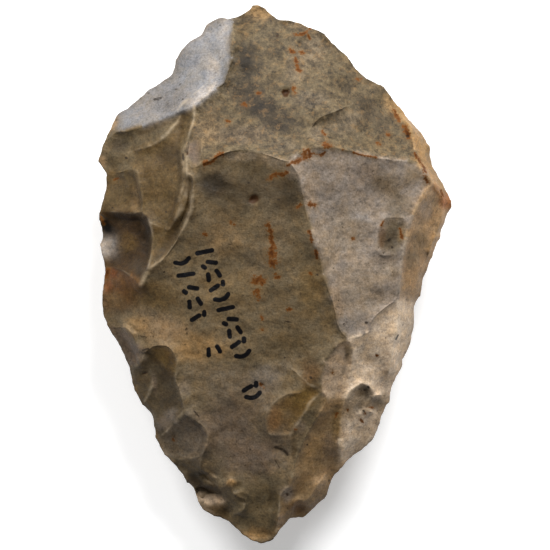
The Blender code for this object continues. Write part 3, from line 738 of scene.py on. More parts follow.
def repeated(geometry, rounds, body):
    """Repeats body(geometry, iteration) as many times as rounds says."""
    tree = geometry.tree
    start = tree.nodes.new("GeometryNodeRepeatInput")
    end = tree.nodes.new("GeometryNodeRepeatOutput")
    start.pair_with_output(end)
    feed(start.inputs["Iterations"], rounds)
    feed(start.inputs["Geometry"], geometry)
    feed(end.inputs["Geometry"], body(Wire(start.outputs["Geometry"]), Wire(start.outputs["Iteration"])))
    return Wire(end.outputs["Geometry"])


print("trees read and store named values, move points and repeat themselves")

# %% Running a tree
flint = bpy.data.materials.new("patinated flint")
flint.use_nodes = True


def run_tree(tree, **values):
    """Runs a tree on the stone with these inputs, and keeps the result as its plain mesh."""
    modifier = stone.modifiers.new(tree.name, "NODES")
    modifier.node_group = tree
    values["material"] = flint
    for item in tree.interface.items_tree:
        if item.in_out == "INPUT" and item.name in values:
            modifier[item.identifier] = values[item.name]
    graph = bpy.context.evaluated_depsgraph_get()
    mesh = bpy.data.meshes.new_from_object(stone.evaluated_get(graph), depsgraph=graph)
    stone.modifiers.remove(modifier)
    before, stone.data = stone.data, mesh
    bpy.data.meshes.remove(before)
    print(tree.name, "gave", len(mesh.vertices), "points")


print("trees paint with", flint.name)

# %% [markdown]
# ## Lines as helpers
# Much of what follows depends on how far a point of the skin is from a line: an arris, the foot
# of a step, a streak of rust or a stroke of ink. Each set of lines becomes a mesh of edges laid
# flat, and Geometry Proximity measures to it in the plan. The distance is stored in units of
# the line's own width, so that one tree serves wide and narrow marks. Lines for the hidden face
# lie on a second level, far below, so that the two faces never see each other's.

# %% Distance to lines
HELPER_STEP = 0.5  # spacing of a helper line's points
LEVEL_GAP = 0.5  # metres between the level of the upper face's lines and the under face's


def line_object(name, upper_set, under_set=()):
    """A mesh of edges from (width, plan points) pairs, with the width on its points."""
    coords, links, widths = [], [], []
    for level, lines in ((0.0, upper_set), (-LEVEL_GAP, under_set)):
        for width, line in lines:
            links += [(len(coords) + i, len(coords) + i + 1) for i in range(len(line) - 1)]
            coords += [(x * MM, y * MM, level) for x, y in np.asarray(line)[:, :2]]
            widths += [width] * len(line)
    mesh = bpy.data.meshes.new(name)
    mesh.from_pydata(coords, links, [])
    put_on_points(mesh, "width", widths)
    made = bpy.data.objects.new(name, mesh)
    bpy.context.scene.collection.objects.link(made)
    return made


def distance_tree(stored_as):
    """Stores each point's distance to the lines, over the width of the nearest one."""
    tree, skin, lines, material = geometry_tree("measure " + stored_as, lines=object)
    at = position_of(tree)
    level = (named(tree, "side") - 1.0) * (0.5 * LEVEL_GAP)
    flat = vector(tree, at.part("X"), at.part("Y"), level)
    drawn = geometry_of(lines)
    away = add(tree, "GeometryNodeProximity", {0: drawn, 2: flat}, output=1, target_element="EDGES")
    nearest = add(tree, "GeometryNodeSampleNearest", {0: drawn, 1: flat}, domain="POINT")
    width = add(tree, "GeometryNodeSampleIndex", {0: drawn, 1: named(tree, "width"), 2: nearest},
                data_type="FLOAT", domain="POINT")
    close_tree(tree, stored(skin, stored_as, away / (width * MM)), material)
    return tree


def measure(stored_as, upper_set, under_set=()):
    helper = line_object(stored_as, upper_set, under_set)
    run_tree(distance_tree(stored_as), lines=helper)
    bpy.data.objects.remove(helper)


def in_millimetres(lines):
    """The lines as smooth curves, each with a width of 1 mm, so that distances come in mm."""
    return [(1.0, smooth_line(line, HELPER_STEP)) for line in lines]


under_set = [(1.0, line) for line in under_lines[len(REST_RIM):]]
measure("arris", in_millimetres(ARRISES + LIPS), under_set)
measure("foot", in_millimetres(STEP_FEET))
measure("lip", in_millimetres(LIPS))

# %% [markdown]
# ## Hanging the scars
# A flake scar is a shallow hollow stretched between its arrises, much as a soap film hangs in a
# wire frame. The film is a blur: every free point moves to the middle of its neighbours, again
# and again, while points on a line are held. Blurring the whole position, and not only the
# height, also evens out the triangles. Each round lowers the free points a little, most of all
# beside an arris, because a scar curls up to it. The packed solid gives the starting heights.

# %% Hang the scars
CURL = 0.2  # curvature beside an arris, per millimetre
CURL_REACH = 2.6  # how far from an arris it is felt, in millimetres
BLURS_A_ROUND = 4
FILM_ROUNDS = 110
SELF_SHARE = 6.0 / 7.0  # a blur counts the point itself as one of seven
RAY_START, RAY_LENGTH = 0.1, 0.2  # metres: a ray comes from outside, towards the solid
MISSED_HEIGHT = 17.5  # where a point starts that the packed solid doesn't reach


def film_tree():
    tree, skin, solid, rounds, curl, reach, material = geometry_tree(
        "hang scars", solid=object, rounds=int, curl=float, reach=float)
    at, side, grip = position_of(tree), named(tree, "side"), named(tree, "grip")
    x, y = at.part("X"), at.part("Y")
    ray = {0: geometry_of(solid), 2: vector(tree, x, y, side * RAY_START),
           3: vector(tree, 0.0, 0.0, side * -1.0), 4: RAY_LENGTH}
    caster = add(tree, "GeometryNodeRaycast", ray)
    hit = Wire(caster.socket.node.outputs["Hit Position"]).part("Z")
    start = mixed(caster, MISSED_HEIGHT * MM, hit)
    skin = stored(skin, "home", at, "FLOAT_VECTOR")
    skin = moved(skin, position=vector(tree, x, y, mixed(grip, start, at.part("Z"))))
    away = named(tree, "arris").at_most(named(tree, "foot"))
    curled = (away * -1.0 / reach).math("EXPONENT") * curl
    sink = named(tree, "spacing_squared") * curled * (0.25 * SELF_SHARE * BLURS_A_ROUND * MM)
    skin = stored(skin, "sink", sink * side)

    def one_round(film, _):
        blur = {0: position_of(tree), 1: BLURS_A_ROUND, 2: 1.0 - named(tree, "grip")}
        smoothed = add(tree, "GeometryNodeBlurAttribute", blur, data_type="FLOAT_VECTOR")
        sunk = smoothed - vector(tree, 0.0, 0.0, named(tree, "sink"))
        home = named(tree, "home", "FLOAT_VECTOR")
        return moved(film, position=mixed(named(tree, "grip"), sunk, home, "VECTOR"))

    close_tree(tree, repeated(skin, rounds, one_round), material)
    return tree


run_tree(film_tree(), solid=CAD_STONE, rounds=FILM_ROUNDS, curl=CURL, reach=CURL_REACH)

# %% [markdown]
# ## Chips and pits
# Small scars, chips and pits sit on the large ones. Each is one stamp: an oval with its size, the
# way that it points, its depth, and a power that makes it a bowl or a sharp-walled pit. A lean
# deepens one end, as a blow does. A tree takes the stamps one after another from a mesh of
# points, so that a new chip is one more row in a list. Near the edge the hidden face follows,
# which keeps the rim whole.

# %% Pits and chips: x, y, half length, half width, turn in degrees, depth, power, lean
PITS = (
    (3, 50.1, 1.35, 1.25, 0, 1.3, 4, 0.1), (-5.8, 20.6, 1.5, 1.2, 25, 0.9, 4, 0),
    (0.7, 66.3, 0.6, 0.6, 0, 0.4, 3, 0), (-11.6, 14.2, 0.7, 0.6, 0, 0.22, 3, 0),
    (-24.2, 33.3, 0.55, 0.4, 70, 0.5, 3, 0), (-35.8, -27.3, 1, 0.6, 10, 0.35, 3, 0),
    (-28.1, -45, 0.8, 0.45, 75, 0.3, 3, 0), (3.4, -61.1, 0.6, 0.4, -60, 0.35, 3, 0),
    (24.9, -32.1, 0.55, 0.45, 0, 0.3, 3, 0), (-3.5, -30.8, 0.7, 0.35, -50, 0.25, 3, 0),
    (11.5, 1, 0.45, 0.4, 0, 0.25, 3, 0), (36.8, 38.3, 0.5, 0.4, 0, 0.3, 3, 0),
)
CHIPS = (
    (-47.8, 9.8, 5.2, 3.4, 84, 1.5, 2, 0.45), (4.9, 51.6, 1.4, 0.8, 40, 0.3, 2, 0),
    (-22.4, -35.2, 2.2, 1.7, 15, 0.35, 2.5, 0.3), (0.2, -51.5, 3.9, 3.5, 55, 0.3, 7, 1),
    (-1, -53.4, 2.8, 1.4, 60, 0.14, 5, 1), (44.8, 22.6, 2.3, 1.5, -35, 0.4, 2, 0.3),
    (7.3, 69.6, 3.2, 2.9, -20, 0.6, 2.2, 0.3), (-22.2, 42.6, 1.7, 1, 60, 0.35, 2.2, 0),
    (-21.6, 44.9, 1.3, 0.8, 70, 0.25, 2.2, 0), (-23.4, -20.9, 1.4, 1.3, 0, -0.22, 2, 0),
    (-39.6, -14.9, 2.1, 1.1, -35, 0.4, 2.5, 0.3), (-43.2, 36.3, 4.6, 3, 20, 0.5, 2, 0.2),
    (-8.8, -62.4, 2.3, 1.5, -30, 0.4, 2.5, 0.3), (-17.6, -54.8, 2.4, 1.2, -35, 0.6, 2.6, 0.4),
    (-26.2, -53.4, 2.6, 1.3, -35, 0.5, 2.4, 0.3), (-42.2, -18.6, 3.4, 0.8, -52, 0.4, 2.2, 0),
    (-40.2, -21, 3.6, 0.9, -55, 0.45, 2.2, 0), (-38.6, -23.6, 2.4, 0.8, -50, 0.35, 2.2, 0),
    (-21, -56.8, 3, 1.6, -20, 0.4, 2.2, 0.2), (6.6, -64.8, 2.6, 1.8, 40, 0.5, 2.2, 0.2),
    (-3, -72.6, 2.6, 1.4, 10, 0.4, 2.2, 0), (27.5, -36, 2.2, 1.4, 30, 0.3, 2.2, 0),
    (31.2, 47.6, 3.4, 2.2, -50, 0.35, 2, 0.2), (40.8, 31.5, 2.6, 1.4, -70, 0.3, 2, 0),
    (-46.8, -1.6, 3, 1.6, 80, 0.5, 2, 0), (-46.6, 24, 2.6, 1.4, 85, 0.3, 2, 0),
    (-36, 47.6, 3, 1.6, 40, 0.25, 2, 0), (41.8, -3, 3, 1.4, 75, 0.35, 2, 0),
    (-14.8, -61.8, 1.6, 2.2, 20, 0.8, 2.4, 0.2), (-18.4, -56.6, 3.6, 1.1, -38, 1.1, 2.4, 0),
    (-19, -60.2, 3.4, 0.9, -6, 1.1, 2.6, 0), (-0.6, -63.6, 3.2, 1.2, 84, 0.8, 2.2, 0),
    (-10.6, -59.2, 2, 1.5, 30, 0.5, 2.4, 0.2), (-25, -49.4, 3, 1.4, -20, 0.5, 2.4, 0.2),
    (-13.2, -66.4, 2.6, 1.6, 50, 0.5, 2.2, 0.2), (-33.4, -31.8, 4.4, 3, 60, 0.4, 2, 0.2),
)


print(len(PITS), "pits and", len(CHIPS), "chips")

# %% Pressing a stamp
STAMP_WAVES = 420.0  # of the noise that frays a stamp's border, per metre
RIM_REACH = 5.0  # how far from the edge, in mm, the hidden face follows a stamp
CHIP_RAGGED, PIT_RAGGED = 0.25, 0.5


def stamp_object(name, stamps):
    """A mesh of one point for each stamp, with the stamp's numbers on it."""
    mesh = bpy.data.meshes.new(name)
    mesh.from_pydata([(x * MM, y * MM, 0.0) for x, y, *_ in stamps], [], [])
    for i, label in enumerate(("long", "wide", "turn", "depth", "power", "lean")):
        put_on_points(mesh, label, [stamp[2 + i] for stamp in stamps])
    made = bpy.data.objects.new(name, mesh)
    bpy.context.scene.collection.objects.link(made)
    return made


def of_point(drawn, index, value, kind="FLOAT"):
    """A value of one point of another geometry."""
    inputs = {0: drawn, 1: value, 2: index}
    return add(drawn.tree, "GeometryNodeSampleIndex", inputs, data_type=kind, domain="POINT")


def oval(drawn, index, ragged):
    """How far out of a stamp's oval a point lies: 1 on its line. Also its place along the oval."""
    tree = drawn.tree
    at = position_of(tree)
    off = at - of_point(drawn, index, position_of(tree), "FLOAT_VECTOR")
    turn = of_point(drawn, index, named(tree, "turn")) * math.radians(1.0)
    x, y, across, along = off.part("X"), off.part("Y"), turn.math("SINE"), turn.math("COSINE")
    u = (x * along + y * across) / (of_point(drawn, index, named(tree, "long")) * MM)
    v = (y * along - x * across) / (of_point(drawn, index, named(tree, "wide")) * MM)
    radius = (u * u + v * v).math("SQRT")
    return radius + (noise_of(at, STAMP_WAVES) - 0.5) * ragged, u


def stamp_tree(stored_as):
    """Presses every stamp into the upper face, and stores how deep each point went, in mm."""
    tree, skin, stamps, count, ragged, material = geometry_tree(
        "press " + stored_as, stamps=object, count=int, ragged=float)
    drawn = geometry_of(stamps)

    def press(pressed, index):
        radius, u = oval(drawn, index, ragged)
        power = of_point(drawn, index, named(tree, "power"))
        bowl = (1.0 - radius.at_least(0.0) ** power).at_least(0.0)
        lean = (1.0 + u * of_point(drawn, index, named(tree, "lean"))).at_least(0.0)
        sunk = bowl * lean * of_point(drawn, index, named(tree, "depth"))
        beside_rim = 1.0 - named(tree, "rim").ramp(0.0, RIM_REACH)
        sunk = sunk * mixed(named(tree, "side").ramp(-1.0, 1.0), beside_rim, 1.0)
        pressed = moved(pressed, offset=vector(tree, 0.0, 0.0, sunk * -MM))
        return stored(pressed, stored_as, named(tree, stored_as) + sunk)

    close_tree(tree, repeated(stored(skin, stored_as, 0.0), count, press), material)
    return tree


def press(stored_as, stamps, ragged):
    helper = stamp_object(stored_as, stamps)
    run_tree(stamp_tree(stored_as), stamps=helper, count=len(stamps), ragged=ragged)
    bpy.data.objects.remove(helper)


edge_ring = np.vstack((edge, edge[:1]))
measure("rim", [(1.0, edge_ring)], [(1.0, edge_ring)])
press("chip", CHIPS, CHIP_RAGGED)
press("pit", PITS, PIT_RAGGED)

# %% [markdown]
# ## A nibbled edge and uneven skin
# The edge of a real axe is not a clean line. Small flakes have come off both sides of it, at
# random places and in random sizes, so a tree takes them from a seed. The broad faces are not
# perfectly smooth either: the same tree gives them low swells and a fine unevenness.

# %% Nibble the edge and roughen the skin
NICKS = 150
NICK_SEED = 11
NICK_LEAST, NICK_MOST = 0.7, 2.2
NICK_DEPTH = 0.32
NICK_SHARES = (0.3, 1.0)  # how much of that depth a nick may have
NICK_REACH = 1.5  # how far from the edge, in mm, the other face follows a nick
SMOOTH_RIM = (-0.5, 2.0)  # the unevenness grows over these distances from the edge, in mm
UNEVENNESS = ((85.0, 1.0, 3.2), (330.0, 2.0, 0.7), (1100.0, 2.0, 0.16))  # waves, detail, height


def nibble_tree():
    tree, skin, ring, nicks, seed, least, most, depth, material = geometry_tree(
        "nibble the edge", ring=object, nicks=int, seed=int, least=float, most=float, depth=float)
    drawn = geometry_of(ring)
    last = len(edge_ring) - 1

    def chance(index, low, high, offset, kind="FLOAT"):
        places = {"FLOAT": (2, 3, 1), "INT": (4, 5, 2)}[kind]
        inputs = {places[0]: low, places[1]: high, 7: index, 8: seed + offset}
        return add(tree, "FunctionNodeRandomValue", inputs, output=places[2], data_type=kind)

    def nick(nicked, index):
        centre = of_point(drawn, chance(index, 0, last, 0, "INT"), position_of(tree), "FLOAT_VECTOR")
        off = position_of(tree) - centre
        flat = vector(tree, off.part("X"), off.part("Y"), 0.0)
        away = add(tree, "ShaderNodeVectorMath", {0: flat}, output=1, operation="LENGTH")
        radius = away / (chance(index, least, most, 1) * MM)
        bowl = (1.0 - radius * radius).at_least(0.0) * chance(index, *NICK_SHARES, 2) * depth
        is_above = chance(index, 0, 1, 3, "INT")
        same_side = is_above * named(tree, "side").ramp(-1.0, 1.0)
        same_side = same_side + (1.0 - is_above) * named(tree, "side").ramp(1.0, -1.0)
        beside_rim = 1.0 - named(tree, "rim").ramp(0.0, NICK_REACH)
        sunk = bowl * mixed(same_side, beside_rim, 1.0) * (is_above * 2.0 - 1.0)
        return moved(nicked, offset=vector(tree, 0.0, 0.0, sunk * -MM))

    skin = repeated(skin, nicks, nick)
    at = position_of(tree)
    swell = 0.0
    for waves, detail, height in UNEVENNESS:
        swell = (noise_of(at, waves, detail) - 0.5) * height + swell
    out = add(tree, "GeometryNodeInputNormal", {})
    settled = moved(skin, offset=out * (swell * named(tree, "rim").ramp(*SMOOTH_RIM) * MM))
    at = position_of(tree)
    grounded = vector(tree, at.part("X"), at.part("Y"), at.part("Z").at_least(0.0))
    close_tree(tree, moved(settled, position=grounded), material)
    return tree


ring_helper = line_object("edge ring", [(1.0, edge_ring)])
run_tree(nibble_tree(), ring=ring_helper, nicks=NICKS, seed=NICK_SEED, least=NICK_LEAST,
         most=NICK_MOST, depth=NICK_DEPTH)
bpy.data.objects.remove(ring_helper)

# %% [markdown]
# ## Patina
# Flint weathers scar by scar: each flake surface takes its own colour, and the colour changes
# at the arris. So the patina starts as a sheet of flat panes, one for each scar, hung above the
# stone as in a leaded window. For every point of the upper face a ray looks straight down from
# above the panes, and the point takes the colour of the first one that it meets, through a
# little noise away from the arrises. Soft dabs come next, most of them stains. A few panes and
# dabs are painted shade and painted highlight instead: in the hollow of the left edge, on the
# ledge at the narrow end, and a sheen on the pale shoulder. Panes and dabs both name their
# colours from one short list of swatches. The hidden face has two plain colours.

# %% Swatches, as screen values from 0 to 255
STRENGTH = 1.25  # the gain of every patina colour
DEEPENING = 1.45  # and the power that darkens it first


def linear(red, green, blue):
    """The linear colour of a screen value from 0 to 255."""
    shares = (c / 255.0 for c in (red, green, blue))
    return tuple(c / 12.92 if c <= 0.04045 else ((c + 0.055) / 1.055) ** 2.4 for c in shares)


def patina(screen):
    """The linear colour of a patina swatch, deepened as a polished stone's colour is."""
    return tuple(STRENGTH * c**DEEPENING for c in linear(*screen))


SWATCHES = {
    "painted_shadow_black": (30, 26, 20), "painted_shade_brown": (56, 46, 34), "soot": (62, 56, 47), "umber": (76, 68, 54),
    "peat": (78, 63, 38), "drab": (86, 78, 65), "raw_umber": (88, 75, 51), "moss": (98, 89, 72),
    "slate": (103, 94, 84), "loam": (107, 94, 69), "bark": (110, 86, 54), "olive": (110, 101, 82),
    "ochre": (115, 98, 63), "taupe": (115, 105, 94), "fawn": (119, 109, 90), "dove": (120, 112, 99),
    "sienna": (124, 84, 44), "khaki": (124, 110, 84), "ash": (124, 119, 112),
    "stone": (127, 117, 101), "amber": (128, 97, 55), "mist": (131, 133, 135),
    "tan": (134, 118, 93), "bone": (138, 131, 122), "pearl": (143, 143, 143),
    "rust_tan": (150, 108, 68), "oat": (150, 140, 124), "sand": (152, 131, 98),
    "buff": (152, 134, 109), "chalk": (162, 149, 131), "frost": (167, 163, 157),
    "ivory": (181, 170, 154),
}
print(len(SWATCHES), "swatches")

# %% Panes: the swatch, how blotchy it is, and the outline in mm
PANES = (
    # the middle face
    ("fawn", 0.25, ((-60, -80), (60, -80), (60, 80), (-60, 80))),
    # broad end
    ("olive", 1, ((-19.6, 30.6), (-13.8, 33.5), (-8.3, 34.4), (-2.2, 33), (3.7, 31.3), (8.4, 34.4),
     (14.3, 35.2), (20.9, 34.1), (27.1, 32.4), (39.5, 31), (60, 30), (60, 80), (-11.5, 80),
     (-11.4, 71), (-12, 60), (-14, 53), (-22, 46.8), (-22.6, 42), (-25.4, 34))),
    # pale shoulder
    ("mist", 0.1, ((-10.8, 80), (-11.4, 71), (-12, 60), (-14, 53), (-18, 50.2), (-22, 46.8),
     (-27.8, 44.7), (-34.4, 41.9), (-41, 39.9), (-43.5, 39.6), (-44.4, 43), (-45, 46), (-60, 60),
     (-60, 80))),
    # right face
    ("bone", 0.35, ((3.7, 31.3), (6.9, 26.6), (8.4, 18), (11.5, 8.2), (13.4, 0.1), (16.2, -8.5),
     (17.6, -14.5), (20.2, -17.8), (24.5, -16.6), (26.6, -15.4), (27, -12.8), (29.4, -10.2),
     (34.4, -6.6), (34.9, 2), (36.6, 12), (38.6, 17.5), (41, 22.4), (43.2, 25.4), (39.5, 31),
     (27.1, 32.4), (20.9, 34.1), (14.3, 35.2), (8.4, 34.4))),
    # right strip
    ("buff", 0.3, ((34.4, -6.6), (34.9, 2), (36.6, 12), (38.6, 17.5), (41, 22.4), (43.2, 25.4),
     (60, 24), (60, -15), (33.8, -14))),
    # upper right strip
    ("sand", 0.2, ((33, 47), (37.6, 40), (39.5, 31), (43.2, 25.4), (47.2, 20.6), (60, 20), (60, 60),
     (36, 60))),
    # lower right
    ("ivory", 0.2, ((20.2, -17.8), (24.5, -16.6), (26.6, -15.4), (27, -12.8), (29.4, -10.2),
     (34.4, -6.6), (60, -10), (60, -60), (18.4, -54), (18, -47), (18.6, -39), (14.3, -34.4),
     (13, -32.2), (12.5, -28.5), (13.8, -24), (17, -19.6))),
    # the tan scar under the ridge
    ("chalk", 0.3, ((20.2, -17.8), (21.4, -20.5), (21.2, -24), (20.2, -29), (19.4, -34.4),
     (14.3, -34.4), (13, -32.2), (12.5, -28.5), (13.8, -24), (17, -19.6))),
    # leaf-shaped scar
    ("oat", 0.4, ((24.2, -30), (21.2, -31.8), (19.6, -34.4), (18.8, -38), (19.6, -42.6),
     (22.4, -39.8), (25, -37), (27, -34), (26.5, -31.4))),
    ("stone", 0.2, ((27, -34), (29, -33.4), (30.7, -33.6), (32, -36), (28.8, -38.6), (25, -37))),
    # brown strip beside it
    ("tan", 0.3, ((14.3, -34.4), (19.6, -34.4), (18.6, -39), (18, -47), (18.4, -53), (15, -56),
     (4.4, -58.5), (5.6, -52), (8.4, -45.4), (11.5, -40))),
    # ochre scar
    ("ochre", 0.4, ((9.2, -30.2), (7.6, -32.3), (3.5, -33.2), (0.2, -35), (-2.2, -39), (-1.6, -44),
     (4.2, -44.6), (8, -38.8), (10, -35.2), (13, -32.2))),
    ("olive", 0.3, ((13, -32.2), (14.3, -34.4), (11.5, -40), (8.4, -45.4), (5.6, -52), (4.2, -44.6),
     (8, -38.8), (10, -35.2))),
    # narrow end
    ("olive", 0.3, ((-12.2, -57.2), (-6, -57.4), (0, -58), (1.6, -61.2), (1.2, -65.5), (0.4, -71.4),
     (0, -80), (-30, -80), (-12.4, -66.4))),
    ("tan", 0.3, ((4.4, -58.5), (1.6, -61.2), (1.2, -65.5), (0.4, -71.4), (0, -80), (30, -70),
     (18.4, -53), (14.2, -55))),
    # rough scars on its left
    ("moss", 0.3, ((-20.1, -50.2), (-28.6, -51.4), (-40, -50), (-40, -80), (-14, -80),
     (-12.4, -66.4), (-11.5, -60.6), (-12.2, -57.2), (-15, -59.6), (-18, -56.4), (-20.6, -53.6))),
    # This chalk band is painted light on the floor of the ledge at the narrow end.
    ("chalk", 0.2, ((-23, -61.2), (-15.2, -61.4), (-13.4, -63.2), (-17, -63.5), (-23, -63.4))),
    ("raw_umber", 0.3, ((-23, -63.4), (-17, -63.5), (-13.4, -63.4), (-12.4, -66.4), (-12, -80),
     (-40, -80))),
    # the steep scars down the left edge, whose moss is partly painted shade, as they face away from the
    # light
    ("moss", 0.3, ((-60, -14.8), (-41.4, -14.8), (-39.4, -16.8), (-37.6, -20.6), (-35.6, -21.2),
     (-33, -23.8), (-27.6, -29.3), (-26, -33.2), (-24.7, -37.7), (-28, -41.6), (-32, -45.3),
     (-60, -50))),
    ("taupe", 0.5, ((-60, -14.8), (-41.4, -14.8), (-39.4, -16.8), (-37.6, -20.6), (-35.6, -21.2),
     (-37.4, -24.8), (-39.6, -25.4), (-60, -26))),
    ("ochre", 0.3, ((-35.6, -21.2), (-33.6, -19.9), (-30, -19.8), (-28.2, -21.4), (-27, -25),
     (-27.6, -29.3), (-30.2, -26.5), (-33, -23.8))),
    ("dove", 0.2, ((-24.7, -37.7), (-22.8, -40), (-19, -43), (-18.6, -46.5), (-20.1, -50.2),
     (-24, -51.2), (-60, -51.5), (-60, -46), (-32, -45.3), (-28, -41.6))),
    # the broad left side
    ("loam", 0.4, ((-25.4, 34), (-24.7, 28), (-24.1, 24.5), (-25, 20), (-27, 15.8), (-29.2, 12.4),
     (-33.9, 14.2), (-36.8, 17.2), (-60, 17), (-60, 39), (-43.5, 39.6), (-34.4, 41.9),
     (-27.8, 44.7), (-22, 46.8), (-22.6, 42), (-24, 38))),
    ("olive", 0.3, ((-43.5, 39.6), (-41, 39.9), (-34.4, 41.9), (-27.8, 44.7), (-26, 45.3),
     (-26.4, 43.8), (-28, 41), (-30.5, 38.2), (-34.5, 35.6), (-39.6, 34.2), (-43, 36.5))),
    ("loam", 0.3, ((-60, 28.2), (-43, 28.4), (-40, 29.2), (-37.9, 28.4), (-37.2, 25), (-36.6, 21),
     (-36.8, 17.2), (-44, 17.4), (-60, 17.2))),
    ("olive", 0.3, ((-60, 28.2), (-43, 28.4), (-40, 29.2), (-38.5, 32), (-39.6, 34.2), (-43, 36.5),
     (-43.5, 39.6), (-60, 42))),
    ("peat", 0.5, ((-60, 17.2), (-44, 17.4), (-40, 17), (-36.8, 17.2), (-34.6, 15.6), (-33.9, 11.5),
     (-34.2, 7), (-34.9, 1.4), (-36.8, -2.8), (-39.5, -0.6), (-43, 1.5), (-60, 2))),
    ("raw_umber", 0.2, ((-24.1, 28), (-22.7, 26.5), (-22.6, 20), (-23.6, 16), (-25.3, 12.5),
     (-28, 8.3), (-31, 4.2), (-33, 3.4), (-29.2, 12.4), (-27, 15.8), (-25, 20), (-24.1, 24.5))),
    ("loam", 0.2, ((-33.9, 14.2), (-31.5, 13.2), (-29.2, 12.4), (-30, 9), (-32.5, 5), (-34.9, 1.4),
     (-34.2, 7), (-33.9, 11.5))),
    ("taupe", 0.1, ((-23.9, 32.6), (-23.4, 36.2), (-21.8, 38.3), (-20.3, 36.2), (-20.2, 33),
     (-20.9, 30.2), (-23, 29.8))),
    ("bark", 0.4, ((-36.8, -2.8), (-39.5, -0.6), (-43, 1.5), (-60, 2), (-60, -10), (-47, -10),
     (-42, -9), (-37, -7))),
    # The hollow in the left edge: painted shade on its upper wall, and painted light in frost on its
    # floor.
    ("painted_shade_brown", 0, ((-50, 15.4), (-46.6, 14.8), (-44.4, 12), (-44.2, 9), (-46.6, 9.8), (-50, 11))),
    ("frost", 0, ((-50, 11), (-46.6, 9.8), (-44.2, 9), (-45.6, 5.2), (-50, 5))),
)
print(len(PANES), "panes")
